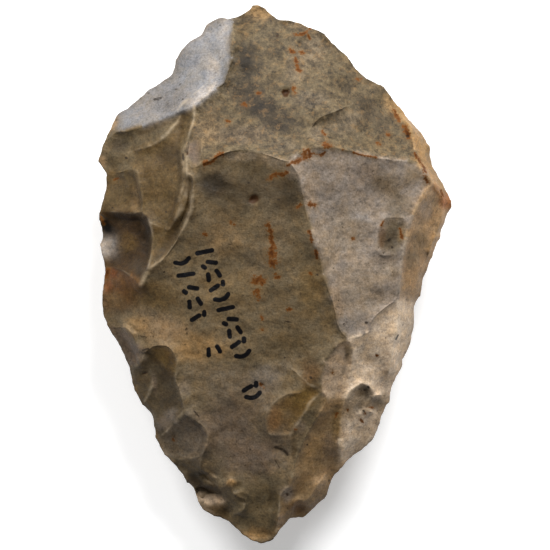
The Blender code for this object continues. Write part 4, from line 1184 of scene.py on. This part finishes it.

# %% Dabs: x, y, half length, half width, turn in degrees, strength, swatch; most are stains, a few are painted shade and painted highlight
DABS = (
    # middle face
    (-8, 24, 14, 6.5, 0, 0.7, "umber"), (-17, 25, 5, 4, 0, 0.8, "soot"),
    (-12, 19, 6, 4.5, 0, 0.45, "moss"), (-8, 28, 6, 3, 0, 0.35, "olive"),
    (3, 22, 4, 5, 0, 0.7, "umber"), (5.5, 17.5, 2.6, 2, 0, 0.6, "umber"),
    (0, 12, 5, 7, 0, 0.4, "stone"), (-14, 10, 7, 6, 0, 0.5, "tan"),
    (-14, -4, 9, 6, 0, 0.5, "khaki"), (-33, -6, 7, 5, 0, 0.55, "ochre"),
    (-34, -11.5, 5, 2.5, -20, 0.5, "stone"), (-30, -15.5, 8, 4, -10, 0.6, "buff"),
    (-21, -20, 8, 4.5, 0, 0.65, "sand"), (-38, -14, 4, 3, 0, 0.5, "sand"),
    (-20, -27, 6, 3, 0, 0.45, "stone"), (-12, -30, 8, 5, 0, 0.6, "dove"),
    (-3, -29, 5, 4, 0, 0.65, "ash"), (2, -26, 4, 2, 30, 0.5, "dove"),
    (-8, -44, 15, 13, 0, 0.6, "taupe"), (-14, -42, 9, 7, 0, 0.5, "slate"),
    (-6, -50, 8, 6, 0, 0.65, "taupe"), (10, -4, 4, 8, 0, 0.5, "ochre"),
    (13, 3, 2.2, 5, 0, 0.4, "loam"), (8, 5, 4, 4, 0, 0.4, "olive"), (4, -18, 6, 4, 0, 0.45, "loam"),
    (12, -20, 5, 4, 0, 0.4, "olive"), (-5, 4, 4, 6, 0, 0.35, "stone"),
    (15, -13, 2.5, 4, 0, 0.5, "loam"), (10, -27, 3, 4, 0, 0.55, "bark"),
    (10.6, -31, 2.2, 1.8, 0, 0.65, "raw_umber"), (-9, 32.6, 7, 1.4, 0, 0.6, "oat"),
    (0, 31, 5, 1.6, -15, 0.6, "oat"), (5, 28.5, 2.6, 2.2, 0, 0.6, "bone"),
    (-25, -31.5, 2, 2.4, 0, 0.5, "ash"), (-20.5, -35, 3, 2.2, 0, 0.5, "moss"),
    (-3, -42, 4, 5, 0, 0.4, "olive"),
    # broad end
    (-16, 45, 4.5, 3.5, 0, 0.65, "moss"), (-18.6, 39.5, 4, 5, 0, 0.5, "tan"),
    (-6, 48, 10, 4, -37, 0.8, "umber"), (-5, 46, 6, 3, -10, 0.6, "soot"),
    (2, 42, 6, 3, 0, 0.7, "umber"), (26, 45.5, 2.8, 5, 25, 0.55, "drab"),
    (6, 38.5, 3, 2, 0, 0.5, "moss"), (-7.6, 59, 3.6, 6, 8, 0.85, "soot"),
    (-2, 58.5, 5, 2.5, 0, 0.5, "olive"), (0, 66, 6, 3, 0, 0.4, "olive"),
    (-8, 69, 3, 3.5, 0, 0.6, "loam"), (6, 58, 3, 6, 0, 0.5, "stone"),
    (11, 62, 4, 5, 0, 0.5, "stone"), (16, 59, 4, 5, 0, 0.5, "olive"),
    (10, 48.5, 5, 2.5, 0, 0.55, "dove"), (20, 53, 3, 3, 0, 0.55, "moss"),
    (25, 45, 4, 5, -50, 0.6, "moss"), (30, 41.5, 3, 3, 0, 0.5, "drab"),
    (19, 42, 6, 4, 0, 0.45, "dove"), (12, 38.5, 3, 3.5, 0, 0.55, "stone"),
    (-9, 38.5, 9, 3, 0, 0.4, "taupe"), (30, 36, 5, 3, 0, 0.45, "khaki"),
    (33, 47, 2.6, 4, 30, 0.6, "sand"), (-4.5, 73, 4, 2.4, -15, 0.75, "sand"),
    (7, 69.5, 3, 1.8, -10, 0.5, "tan"), (2.5, 35.5, 5, 2, 0, 0.4, "dove"),
    # pale shoulder
    # The frost dab at (-17, 57) is a painted highlight, the sheen of the pale shoulder.
    (-20, 62, 4, 7, -25, 0.45, "pearl"), (-17, 57, 2.2, 4, 0, 0.5, "frost"),
    (-30, 48, 11, 4.5, 25, 0.5, "ash"), (-20, 49.6, 5.5, 1.4, 38, 0.65, "frost"),
    (-45.4, 42, 1.6, 3, -25, 0.65, "buff"), (-14, 65, 1.6, 6, 0, 0.4, "frost"),
    # right face
    (10, 24, 2, 5, -8, 0.6, "chalk"), (14, 27, 4, 3, 0, 0.45, "bone"),
    (20, 12, 6, 8, 0, 0.5, "oat"), (14.5, 7, 2.2, 8, 15, 0.5, "oat"),
    (25, 27.5, 5, 4, 0, 0.45, "taupe"), (31, 25, 5, 4, 0, 0.6, "loam"),
    (34, 19, 4, 4, 0, 0.5, "olive"), (24, 16, 3, 2, 0, 0.4, "pearl"),
    (38, 27.5, 3, 2.5, 0, 0.5, "khaki"), (20, -13.5, 3.2, 2.4, 0, 0.75, "ash"),
    (24, -4, 7, 8, 0, 0.55, "oat"), (30, -4, 3, 4, 0, 0.4, "bone"), (32, 1, 3, 3, 0, 0.55, "oat"),
    (17, -7, 1.6, 5, 12, 0.5, "buff"), (32.6, 10.6, 5.6, 3.7, 75, 0.8, "olive"),
    (32, 9.5, 2.6, 3.2, 0, 0.6, "drab"), (29.6, 11, 1.2, 3.4, 0, 0.6, "bark"),
    (35, 11, 1, 3, -12, 0.4, "ochre"),
    # right strip
    (44.5, 20.5, 3, 2.6, 0, 0.55, "tan"), (40, 10, 2.8, 3.2, 0, 0.6, "olive"),
    (38, 4.6, 2.2, 3, 0, 0.5, "olive"), (41.8, 18, 2, 3, 0, 0.5, "bone"),
    (45, 10, 1.6, 6, -22, 0.6, "sand"), (47.6, 20.5, 2.2, 2.8, 0, 0.75, "rust_tan"),
    (36.6, -4, 1.8, 4, 0, 0.4, "tan"), (44.6, 24, 2.4, 1.2, -40, 0.7, "amber"),
    # lower right
    (20.6, -21.5, 1.4, 3, 0, 0.6, "ochre"), (31, -25, 2, 8, 0, 0.5, "chalk"),
    (26, -21, 4, 4, 0, 0.4, "oat"), (24.6, -32.2, 2.4, 2.2, 0, 0.6, "raw_umber"),
    (15, -47, 1.8, 3.4, 0, 0.5, "taupe"), (17, -41, 1.4, 5, 0, 0.5, "ochre"),
    (10, -49.5, 2, 4, -20, 0.5, "sand"), (7, -42.5, 1.8, 2, 0, 0.45, "taupe"),
    (0, -40, 2, 4, -15, 0.4, "amber"), (5.4, -48, 0.9, 4, 0, 0.55, "raw_umber"),
    (13, -57, 4, 2.6, 40, 0.55, "buff"), (3.4, -61, 2, 2.6, 10, 0.65, "bone"),
    (6.4, -64.6, 2.6, 2, 0, 0.7, "bark"), (1.6, -69, 1, 3.4, -8, 0.6, "buff"),
    (24, -45, 4, 3, 30, 0.5, "oat"), (-2, -58, 5, 2.4, 0, 0.45, "olive"),
    (-5, -72.4, 4, 2.2, 0, 0.7, "sand"), (-8.6, -62.4, 2.6, 1.8, 0, 0.5, "umber"),
    # The two dark dabs at (-21, -57.2) and (-17.6, -59.2) are painted shade on the wall above that
    # ledge.
    (-12, -57.8, 1.4, 1, 0, 0.6, "sand"), (-21, -57.2, 4.5, 1.8, -32, 0.6, "painted_shade_brown"),
    (-17.6, -59.2, 3, 1.2, 0, 0.6, "painted_shade_brown"),
    # left side
    (-29, 33, 4, 3, 0, 0.6, "umber"), (-28, 26, 2.4, 3, 0, 0.4, "khaki"),
    (-33, 41.2, 6, 1.4, 22, 0.55, "raw_umber"), (-43.4, 36, 2.6, 2.2, 0, 0.7, "drab"),
    (-48.3, 31.3, 1.6, 2.2, 0, 0.7, "buff"), (-38.6, 21, 1.4, 4, 0, 0.5, "tan"),
    # The darkest dab, at (-46.6, 12.9), is painted shadow in the hollow of the left edge.
    (-46.6, 12.9, 2.4, 1.5, -35, 0.95, "painted_shadow_black"), (-42, 26, 4, 1.4, 0, 0.4, "loam"),
    (-42, 16.2, 6, 1.1, 0, 0.6, "peat"), (-35.2, 11, 1, 4, 0, 0.6, "soot"),
    (-41, 9, 3, 3, 0, 0.5, "ochre"), (-38, 2.4, 2.6, 2, 0, 0.5, "drab"),
    (-45.6, 0.4, 2.2, 1.6, 0, 0.7, "sienna"), (-46.4, -3, 1.4, 2, 0, 0.6, "sienna"),
    (-44, -7, 2.6, 2.6, 0, 0.5, "khaki"), (-30, -28, 3, 2.4, -45, 0.5, "umber"),
    (-28.6, -24, 1.4, 3, -15, 0.6, "umber"), (-29, -34.5, 3, 2.6, 0, 0.5, "drab"),
    (-30.2, -40.4, 4.2, 1.8, 50, 0.65, "bone"), (-34.4, -38.6, 1.4, 3, 30, 0.5, "olive"),
    (-36.8, -23, 1.6, 1.2, 0, 0.5, "oat"), (-38.2, -28.6, 1.6, 3, 0, 0.4, "moss"),
    (-33.4, -30, 0.8, 3.4, 5, 0.5, "taupe"), (-23, -51.2, 4, 0.8, 0, 0.5, "dove"),
    (-19.6, -57, 2.4, 1.2, -35, 0.5, "olive"), (-20, 3, 5, 3, 0, 0.3, "olive"),
    (-24, 5, 3, 3, 0, 0.4, "moss"),
)


print(len(DABS), "dabs")

# %% Panes and dabs as helpers
PANE_LEVEL = 0.3  # metres above the floor
DAB_EDGE = (0.35, 1.35)  # where a dab fades from and to, as shares of its oval
DAB_RAGGED = 0.7


def pane_object():
    """The panes as flat faces, each a little above the one before, with its colour on it."""
    coords, faces = [], []
    for i, (_, _, outline) in enumerate(PANES):
        faces.append(tuple(range(len(coords), len(coords) + len(outline))))
        coords += [(x * MM, y * MM, PANE_LEVEL + i * MM) for x, y in outline]
    mesh = bpy.data.meshes.new("panes")
    mesh.from_pydata(coords, [], faces)
    attribute = mesh.attributes.new("pane", "FLOAT_COLOR", "FACE")
    colours = [(*patina(SWATCHES[swatch]), blotch) for swatch, blotch, _ in PANES]
    attribute.data.foreach_set("color", np.array(colours, np.float32).ravel())
    made = bpy.data.objects.new("panes", mesh)
    bpy.context.scene.collection.objects.link(made)
    return made


def dab_object():
    """The dabs as stamps, whose depth is the dab's strength, with the dab's colour."""
    made = stamp_object("dabs", [(*dab[:-1], 0.0, 0.0) for dab in DABS])
    attribute = made.data.attributes.new("stain", "FLOAT_COLOR", "POINT")
    colours = [(*patina(SWATCHES[dab[-1]]), 1.0) for dab in DABS]
    attribute.data.foreach_set("color", np.array(colours, np.float32).ravel())
    return made


pane_helper, dab_helper = pane_object(), dab_object()
print(len(pane_helper.data.polygons), "panes stand above", len(dab_helper.data.vertices), "dabs")

# %% Lay the patina
UNDER_GREY, UNDER_TAN = (*patina((116, 108, 95)), 1.0), (*patina((124, 108, 80)), 1.0)
UNDER_BLOTCH = 0.6
UNDER_WAVES = 70.0
PANE_BLURS = 14
BLUR_FROM = 0.8  # how far from an arris, in mm, borders are fully soft
WARP = 1.3  # how far a pane's border wanders away from the arrises, in mm
WARP_FROM = 2.5  # and how far from an arris, in mm, it wanders that much
WARP_WAVES = 260.0
SIGHT = 0.6  # height, in metres, that a point looks down from; below 0 for the hidden face
REACH = 0.4  # how far down it looks, which takes in the panes


def patina_tree():
    tree, skin, panes, dabs, count, blurs, warp, material = geometry_tree(
        "lay the patina", panes=object, dabs=object, count=int, blurs=int, warp=float)
    at, above = position_of(tree), named(tree, "side").ramp(-1.0, 1.0)
    free = (named(tree, "arris") / WARP_FROM).at_most(1.0)
    inputs = {"Vector": at, "Scale": WARP_WAVES, "Detail": 3.0}
    noisy = add(tree, "ShaderNodeTexNoise", inputs, output=1)
    seen = at + (noisy - 0.5) * (free * warp * (2.0 * MM))
    eye = vector(tree, seen.part("X"), seen.part("Y"), above * (2.0 * SIGHT) - SIGHT)
    ray = {0: geometry_of(panes), 1: named(tree, "pane", "FLOAT_COLOR"),
           2: eye, 3: (0.0, 0.0, -1.0), 4: REACH}
    caster = add(tree, "GeometryNodeRaycast", ray, data_type="FLOAT_COLOR")
    pane = Wire(caster.socket.node.outputs["Attribute"])
    hidden = mixed(noise_of(at, UNDER_WAVES, 3.0).ramp(0.4, 0.6), UNDER_GREY, UNDER_TAN, "RGBA")
    skin = stored(skin, "coat", mixed(caster, hidden, pane, "RGBA"), "FLOAT_COLOR")
    pane_blotch = add(tree, "FunctionNodeSeparateColor", {0: pane}, output=3)
    skin = stored(skin, "blotch", mixed(caster, UNDER_BLOTCH, pane_blotch))
    loose = (named(tree, "arris") / BLUR_FROM).at_most(1.0)
    blur = {0: named(tree, "coat", "FLOAT_COLOR"), 1: blurs, 2: loose}
    soft = add(tree, "GeometryNodeBlurAttribute", blur, data_type="FLOAT_COLOR")
    skin = stored(skin, "coat", soft, "FLOAT_COLOR")
    drawn = geometry_of(dabs)

    def dab(dabbed, index):
        radius, _ = oval(drawn, index, DAB_RAGGED)
        strength = of_point(drawn, index, named(tree, "depth")) * above
        stain = of_point(drawn, index, named(tree, "stain", "FLOAT_COLOR"), "FLOAT_COLOR")
        share = (1.0 - radius.ramp(*DAB_EDGE)) * strength
        coat = mixed(share, named(tree, "coat", "FLOAT_COLOR"), stain, "RGBA")
        return stored(dabbed, "coat", coat, "FLOAT_COLOR")

    close_tree(tree, repeated(skin, count, dab), material)
    return tree


run_tree(patina_tree(), panes=pane_helper, dabs=dab_helper, count=len(DABS),
         blurs=PANE_BLURS, warp=WARP)
bpy.data.objects.remove(pane_helper)
bpy.data.objects.remove(dab_helper)

# %% [markdown]
# ## Rust, specks and ink
# Iron in the ground left thin orange streaks along cracks and arrises, and dots of it are
# scattered over the faces. Three dark specks are painted shade, on the wall of a small chip and
# at the feet of two steps. A museum's catalogue note in black ink runs down the middle face.
# Here it is rows of strokes that stand for writing and spell nothing. All three are lines that
# the material turns into marks, so their borders can be as sharp as the render needs.

# %% Marks: half width, then the line
RUST = (
    (0.55, ((-19.4, 30), (-19, 30.9), (-17.8, 30.8), (-16.6, 31.8), (-15.2, 33.2), (-14.4, 33.2))),
    (0.5, ((-1.6, 26.4), (-0.4, 27.4), (1.2, 27.5), (2.2, 27.4), (3.2, 28))), (0.55, ((3.6, 30.2),
    (4.6, 30.8), (6.2, 31.2), (7.6, 31.7), (8.6, 32))), (0.6, ((8.2, 32.4), (8.4, 33.8),
    (9.2, 34.2), (9.6, 32.6))), (0.3, ((9.6, 33.4), (11.2, 33.2), (12.8, 32.8), (14, 33.8))), (0.75,
    ((13.6, 34.6), (14, 35.6), (15.2, 35.2))), (0.25, ((18.6, 34.4), (19.6, 34.2))), (0.3,
    ((21.8, 33.6), (23.4, 33.1), (25.4, 32.7), (28, 32.3))), (0.65, ((-1.9, 13.8), (-1.2, 11.6),
    (-0.9, 9.4), (-0.6, 8))), (1.1, ((-0.7, 7.6), (-0.8, 5.4), (-0.4, 3.2))), (0.5, ((7, 19.2),
    (6.2, 18.6))), (0.4, ((9.4, 12), (9.9, 10.6), (10.1, 8.8))), (0.5, ((11.2, 6.6), (11.7, 4.6))),
    (0.6, ((9.8, 19.4), (10.8, 19.2))), (1.1, ((-5, -1.6), (-3.8, -1.8))), (0.8, ((-4.9, -4.6),
    (-4.5, -6.4))), (0.5, ((-3.6, -12), (-3.4, -12.3))), (0.45, ((-3.4, -15.3), (-3.2, -15.6))),
    (0.55, ((3.7, -9.4), (4.2, -9.6))), (0.6, ((0.2, -0.2), (0.9, -0.8))), (0.35, ((9.6, 0.3),
    (10.2, 0.1))), (0.45, ((21.4, 9.9), (21.8, 9.7))), (0.45, ((41.2, 28.9), (41.8, 28.6))), (0.55,
    ((41.6, 27.2), (42.2, 25.6))), (0.4, ((38.8, 33.4), (40.2, 31.2), (41.4, 29.6))), (0.5,
    ((4.4, 62.4), (4.9, 61.6))), (0.5, ((5.6, 60), (6.2, 58))), (0.6, ((6.4, 57), (6.8, 56.2))),
    (0.5, ((7.2, 61.8), (7.9, 61.4))), (0.4, ((22.4, 54.4), (24, 54.2))), (0.4, ((13, 39.4),
    (13.8, 38.6))), (0.5, ((-8.8, 47.2), (-7.8, 46.8))), (0.45, ((-4.8, 50.2), (-4.2, 50))), (0.5,
    ((5.2, 52), (5.6, 50.4))), (0.4, ((-13.6, 42.6), (-12.6, 42.2))), (0.5, ((-19.5, 11.4),
    (-19, 11.2))), (0.4, ((28.2, 36.2), (29, 35.8))), (0.5, ((31.2, 39.2), (31.8, 38.8))), (0.6,
    ((33.2, 45.4), (34.4, 43))), (0.7, ((36, 41), (37.2, 38.2))), (0.35, ((-3.9, -30.2),
    (-3, -31.2))), (0.4, ((25, -38.6), (25.3, -38.8))), (0.4, ((26.6, -36.8), (27, -37))), (0.3,
    ((28.2, -22.4), (28.6, -22.6))), (0.4, ((-28.4, -45.6), (-28, -45.9))), (0.35, ((6, -42.8),
    (5.6, -43))), (0.45, ((-12, 14.4), (-11.2, 14))), (0.35, ((24, -40.4), (24.4, -41))), (0.35,
    ((15.8, -26.6), (16.2, -27.4))), (0.3, ((-47.6, 14), (-48.2, 16))), (0.5, ((-46.4, 1.4),
    (-46.9, -0.8))), (0.3, ((9.7, 65.4), (9.2, 66.6))), (0.35, ((5, 66.8), (6.8, 66.6), (8.6, 67.2),
    (9.8, 68.4))), (0.3, ((-43.6, 26.8), (-44.6, 26.2))), (0.35, ((46.2, 23.4), (46.6, 21.6))),
    (0.35, ((17.2, -38.4), (17, -39.6))), (0.3, ((20, -37.4), (20.2, -37.6))), (0.4, ((34.6, 12.6),
    (35.2, 10))), (0.3, ((29.4, 13.6), (30, 14.6))),
)
SPECKS = (
    (0.38, ((15.5, 50.2), (15.7, 50.2))), (0.4, ((36.6, 38.3), (37, 38.3))), (0.36, ((-41.3, 32.4),
    (-41.1, 32.3))), (0.35, ((-33.6, 48.6), (-32.8, 48.8), (-31.6, 49))), (0.32, ((-27.7, 51.2),
    (-27.3, 51.4))), (0.25, ((-26.7, 48.5), (-26.6, 48.5))), (0.25, ((-25.5, 48.6), (-25.4, 48.6))),
    (0.22, ((2.4, -12.7), (3.8, -13.1), (4.8, -13.4))), (0.2, ((18.8, -13.8), (19.6, -13.2),
    (20.2, -13))), (0.38, ((25.2, -13.3), (25.4, -13.3))), (0.32, ((2.7, -23), (2.8, -23))), (0.3,
    ((-9, -5.9), (-8.8, -5.8))), (0.38, ((25.9, -31.1), (26, -31.3))), (0.3, ((24.6, -37.8),
    (24.8, -38))), (0.35, ((9.9, -28.4), (10.1, -28.6))), (0.35, ((-6.8, -48.5), (-6.7, -48.6))),
    # The speck from (0.2, -47.9) to (3.6, -50) is painted shade on the wall of a small chip.
    (0.2, ((-3.4, -52.5), (-3.3, -52.6))), (0.4, ((0.2, -47.9), (1.6, -48.3), (3, -49.2),
    (3.6, -50))), (0.25, ((0.2, -51.6), (0.9, -52.6), (1.4, -53.6))), (0.35, ((0.9, 20.7),
    (1.3, 20.4))), (0.3, ((11.6, 0), (11.8, -0.1))), (0.35, ((-7.2, 25.3), (-7, 25.2))), (0.25,
    ((16.2, 1.8), (16.4, 1.7))), (0.25, ((19.9, 3.2), (20, 3.1))), (0.25, ((19.3, -0.2),
    (19.5, -0.3))), (0.25, ((17.6, -7.2), (17.9, -7))), (0.3, ((-25.4, 33.2), (-25.2, 31.6))), (0.4,
    ((-24.6, -15.2), (-24.2, -15))), (0.3, ((-36.6, -21), (-35, -20.6))), (0.25, ((-30.8, 0.6),
    (-30.2, 0.9))), (0.25, ((-30.2, 17.3), (-29.9, 17.3))), (0.25, ((-45.2, 18.6), (-45, 18.5))),
    (0.25, ((34.4, 40.4), (34.7, 40.4))), (0.35, ((31.4, 9.4), (31.9, 9.8))), (0.3, ((32.4, 7.6),
    (32.5, 7.4))), (0.25, ((13.3, -45.8), (13.5, -45.8))), (0.25, ((8.9, -47.2), (9.1, -47.1))),
    (0.3, ((15, -57.4), (15.2, -57.2))), (0.3, ((15.2, -59.6), (15.4, -59.2))), (0.25,
    # The specks from (-22.4, -37.8) to (-21, -39.4) and from (-21.8, -60.6) to (-20.6, -61.2) are
    # painted shade at the feet of two steps.
    ((34.2, -16.8), (33.6, -18))), (0.2, ((-22.4, -37.8), (-21, -39.4))), (0.3, ((-21.8, -60.6),
    (-20.6, -61.2))), (0.25, ((-48.2, 16.6), (-46.6, 15.4))),
)
INK_HALF_WIDTH = 0.66
MARK_STEP = 0.25  # spacing of a mark's points
print(len(RUST), "rust marks,", len(SPECKS), "specks")

# %% Measure the marks


def drawn_lines(marks):
    return [(width, smooth_line([(x, y, 0.0) for x, y in line], MARK_STEP)) for width, line in marks]


measure("rust", drawn_lines(RUST))
measure("speck", drawn_lines(SPECKS))
measure("ink", [(INK_HALF_WIDTH, line) for line in ink])

# %% [markdown]
# ## The flint's material
# Old flint is a waxy, satin stone with colour at every scale. Over the coat of panes and dabs
# come cloudy drifts between grey and tan, blotches on the broad end, and a fine grain. Arrises
# are worn pale, and the lips and the ground beside every arris also carry a painted highlight.
# The feet of steps are darkened with painted shade, and the pits keep dirt. A little bump gives
# the skin its tooth. Everything reads object coordinates or the attributes stored above.

# %% Noises: waves per metre, detail, roughness
NOISES = {
    "drift": (75.0, 4.0, 0.6), "hue": (300.0, 7.0, 0.72), "smoke": (300.0, 8.0, 0.74),
    "fleck": (520.0, 6.0, 0.7), "cloud": (620.0, 7.0, 0.72), "dot": (900.0, 2.0, 0.5),
    "grain": (1900.0, 4.0, 0.7), "wear": (90.0, 2.0, 0.5), "wear_ends": (330.0, 3.0, 0.5),
    "rust_edge": (800.0, 5.0, 0.75), "ink_edge": (700.0, 3.0, 0.5),
}
shader_tree = flint.node_tree
shader = shader_tree.nodes["Principled BSDF"]
here = add(shader_tree, "ShaderNodeTexCoord", {}, output=3)
noises = {name: noise_of(here, *settings) for name, settings in NOISES.items()}
print(len(noises), "noises")

# %% Mottling
DRIFT_TONE, CLOUD_TONE, BLOTCH_TONE, GRAIN_TONE = 0.55, 1.1, 2.4, 1.6
DARKEST_TONE = 0.3
COOL, WARM = (1.02, 0.985, 1.0), (1.11, 0.98, 0.86)
SMOKE = (0.44, 0.47, 0.52)
FLECK_TAN, DOT_BROWN = (132, 101, 62), (44, 34, 22)


def stored_value(name, output=2):
    return add(shader_tree, "ShaderNodeAttribute", {}, output=output, attribute_name=name)


def tinted(below, gains):
    return below * vector(shader_tree, *gains)


def over(share, below, screen):
    """Paints a screen colour over another by a share."""
    return mixed(share, below, linear(*screen) + (1.0,), "RGBA")


coat, blotch = stored_value("coat", 0), stored_value("blotch")
tone = 1.0 + (noises["drift"] - 0.5) * DRIFT_TONE
tone = tone + (noises["cloud"] - 0.5) * (blotch * BLOTCH_TONE + CLOUD_TONE)
tone = tone + (noises["grain"] - 0.5) * GRAIN_TONE
colour = coat * tone.at_least(DARKEST_TONE)
warmth = noises["hue"].ramp(0.38, 0.64)
colour = mixed(warmth, tinted(colour, COOL), tinted(colour, WARM), "RGBA")
smoky = noises["smoke"].ramp(0.48, 0.58) * (blotch - 0.25).at_least(0.0) * 1.1
colour = mixed(smoky, colour, tinted(colour, SMOKE), "RGBA")
flecked = noises["fleck"].ramp(0.52, 0.66) * ((blotch - 0.35).at_least(0.0) * 0.5)
colour = over(flecked, colour, FLECK_TAN)
colour = over(noises["dot"].ramp(0.68, 0.74) * 0.6, colour, DOT_BROWN)
print("mottled with", len(shader_tree.nodes), "nodes so far")

# %% Worn arrises, painted highlights beside them, and painted shade at the feet of steps
LIP_WEAR_AND_HIGHLIGHT, ARRIS_WEAR, ARRIS_HIGHLIGHT, FOOT_SHADE = 0.32, 0.15, 0.14, 0.35
PALE_ARRIS_GAIN, PALE_ARRIS_ADDED, HIGHLIGHT_GAIN = 0.7, (0.27, 0.215, 0.145), 1.5
SHADE_BROWN = (40, 31, 18)
arris, foot, lip = stored_value("arris"), stored_value("foot"), stored_value("lip")
patchy = noises["wear"].ramp(0.38, 0.56) * noises["wear_ends"].ramp(0.36, 0.58)
# The lips are painted pale as wear and as a painted highlight on their crests; every arris also gets a
# thin worn line.
worn_and_highlit = (1.0 - lip.ramp(0.0, 0.8)) * (patchy * 0.75 + 0.25) * LIP_WEAR_AND_HIGHLIGHT
worn_and_highlit = worn_and_highlit + (1.0 - arris.ramp(0.05, 0.4)) * patchy * ARRIS_WEAR
pale_arris_colour = colour * PALE_ARRIS_GAIN + vector(shader_tree, *PALE_ARRIS_ADDED)
colour = mixed(worn_and_highlit, colour, pale_arris_colour, "RGBA")
# Painted highlight: the colour brightens within about 2 mm of every arris.
colour = mixed((1.0 - arris.ramp(0.2, 2.2)) * ARRIS_HIGHLIGHT, colour, colour * HIGHLIGHT_GAIN, "RGBA")
# Painted shade: the crease at the foot of each step is darkened to brown.
colour = over((1.0 - foot.ramp(0.1, 1.1)) * FOOT_SHADE, colour, SHADE_BROWN)
print("worn and dirty with", len(shader_tree.nodes), "nodes")

# %% Rust, specks, pits and ink
RUST_RAGGED, SPECK_RAGGED, INK_RAGGED = 6.0, 0.9, 0.5
RUST_LAYERS = (  # where a layer fades from and to, in half widths, its share and its colour
    (0.8, 3.0, 0.3, (104, 78, 46)), (0.6, 1.2, 0.92, (98, 56, 10)), (-0.4, 0.9, 0.85, (60, 28, 2)),
)
SPECK_BROWN, PIT_BROWN, INK_BLACK = (34, 26, 18), (54, 31, 11), (9, 8, 10)
uneven = noises["rust_edge"] - 0.5
rust_away = stored_value("rust") + uneven * RUST_RAGGED - 0.1
for inner, outer, share, screen in RUST_LAYERS:
    colour = over((1.0 - rust_away.ramp(inner, outer)) * share, colour, screen)
speck_away = stored_value("speck") + uneven * SPECK_RAGGED
colour = over((1.0 - speck_away.ramp(0.6, 1.3)) * 0.85, colour, SPECK_BROWN)
colour = over(stored_value("pit").ramp(0.02, 0.5) * 0.9, colour, PIT_BROWN)
ink_away = stored_value("ink") + (noises["ink_edge"] - 0.5) * INK_RAGGED
inked = 1.0 - ink_away.ramp(0.85, 1.1)
colour = over(inked, colour, INK_BLACK)
feed(shader.inputs["Base Color"], colour)
print("marked with", len(shader_tree.nodes), "nodes")

# %% Gloss and tooth
SPECULAR = 0.14
DULL, CLOUD_DULL, RUST_DULL, INK_GLOSS = 0.5, 0.25, 0.25, 0.12
CLOUD_HEIGHT, GRAIN_HEIGHT = 0.27, 0.1
shader.inputs["Specular IOR Level"].default_value = SPECULAR
dull = DULL + (noises["cloud"] - 0.5) * CLOUD_DULL
dull = dull + (1.0 - rust_away.ramp(0.5, 1.2)) * RUST_DULL - inked * INK_GLOSS
feed(shader.inputs["Roughness"], dull.clamped())
height = (noises["cloud"] - 0.5) * (CLOUD_HEIGHT * MM)
height = height + (noises["grain"] - 0.5) * (GRAIN_HEIGHT * MM)
tooth = add(shader_tree, "ShaderNodeBump", {"Height": height, "Strength": 1.0, "Distance": 1.0})
feed(shader.inputs["Normal"], tooth)
print("flint has", len(shader_tree.nodes), "nodes")

# %% Keep the skin
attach(stone, "root")
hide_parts("hand_axe")
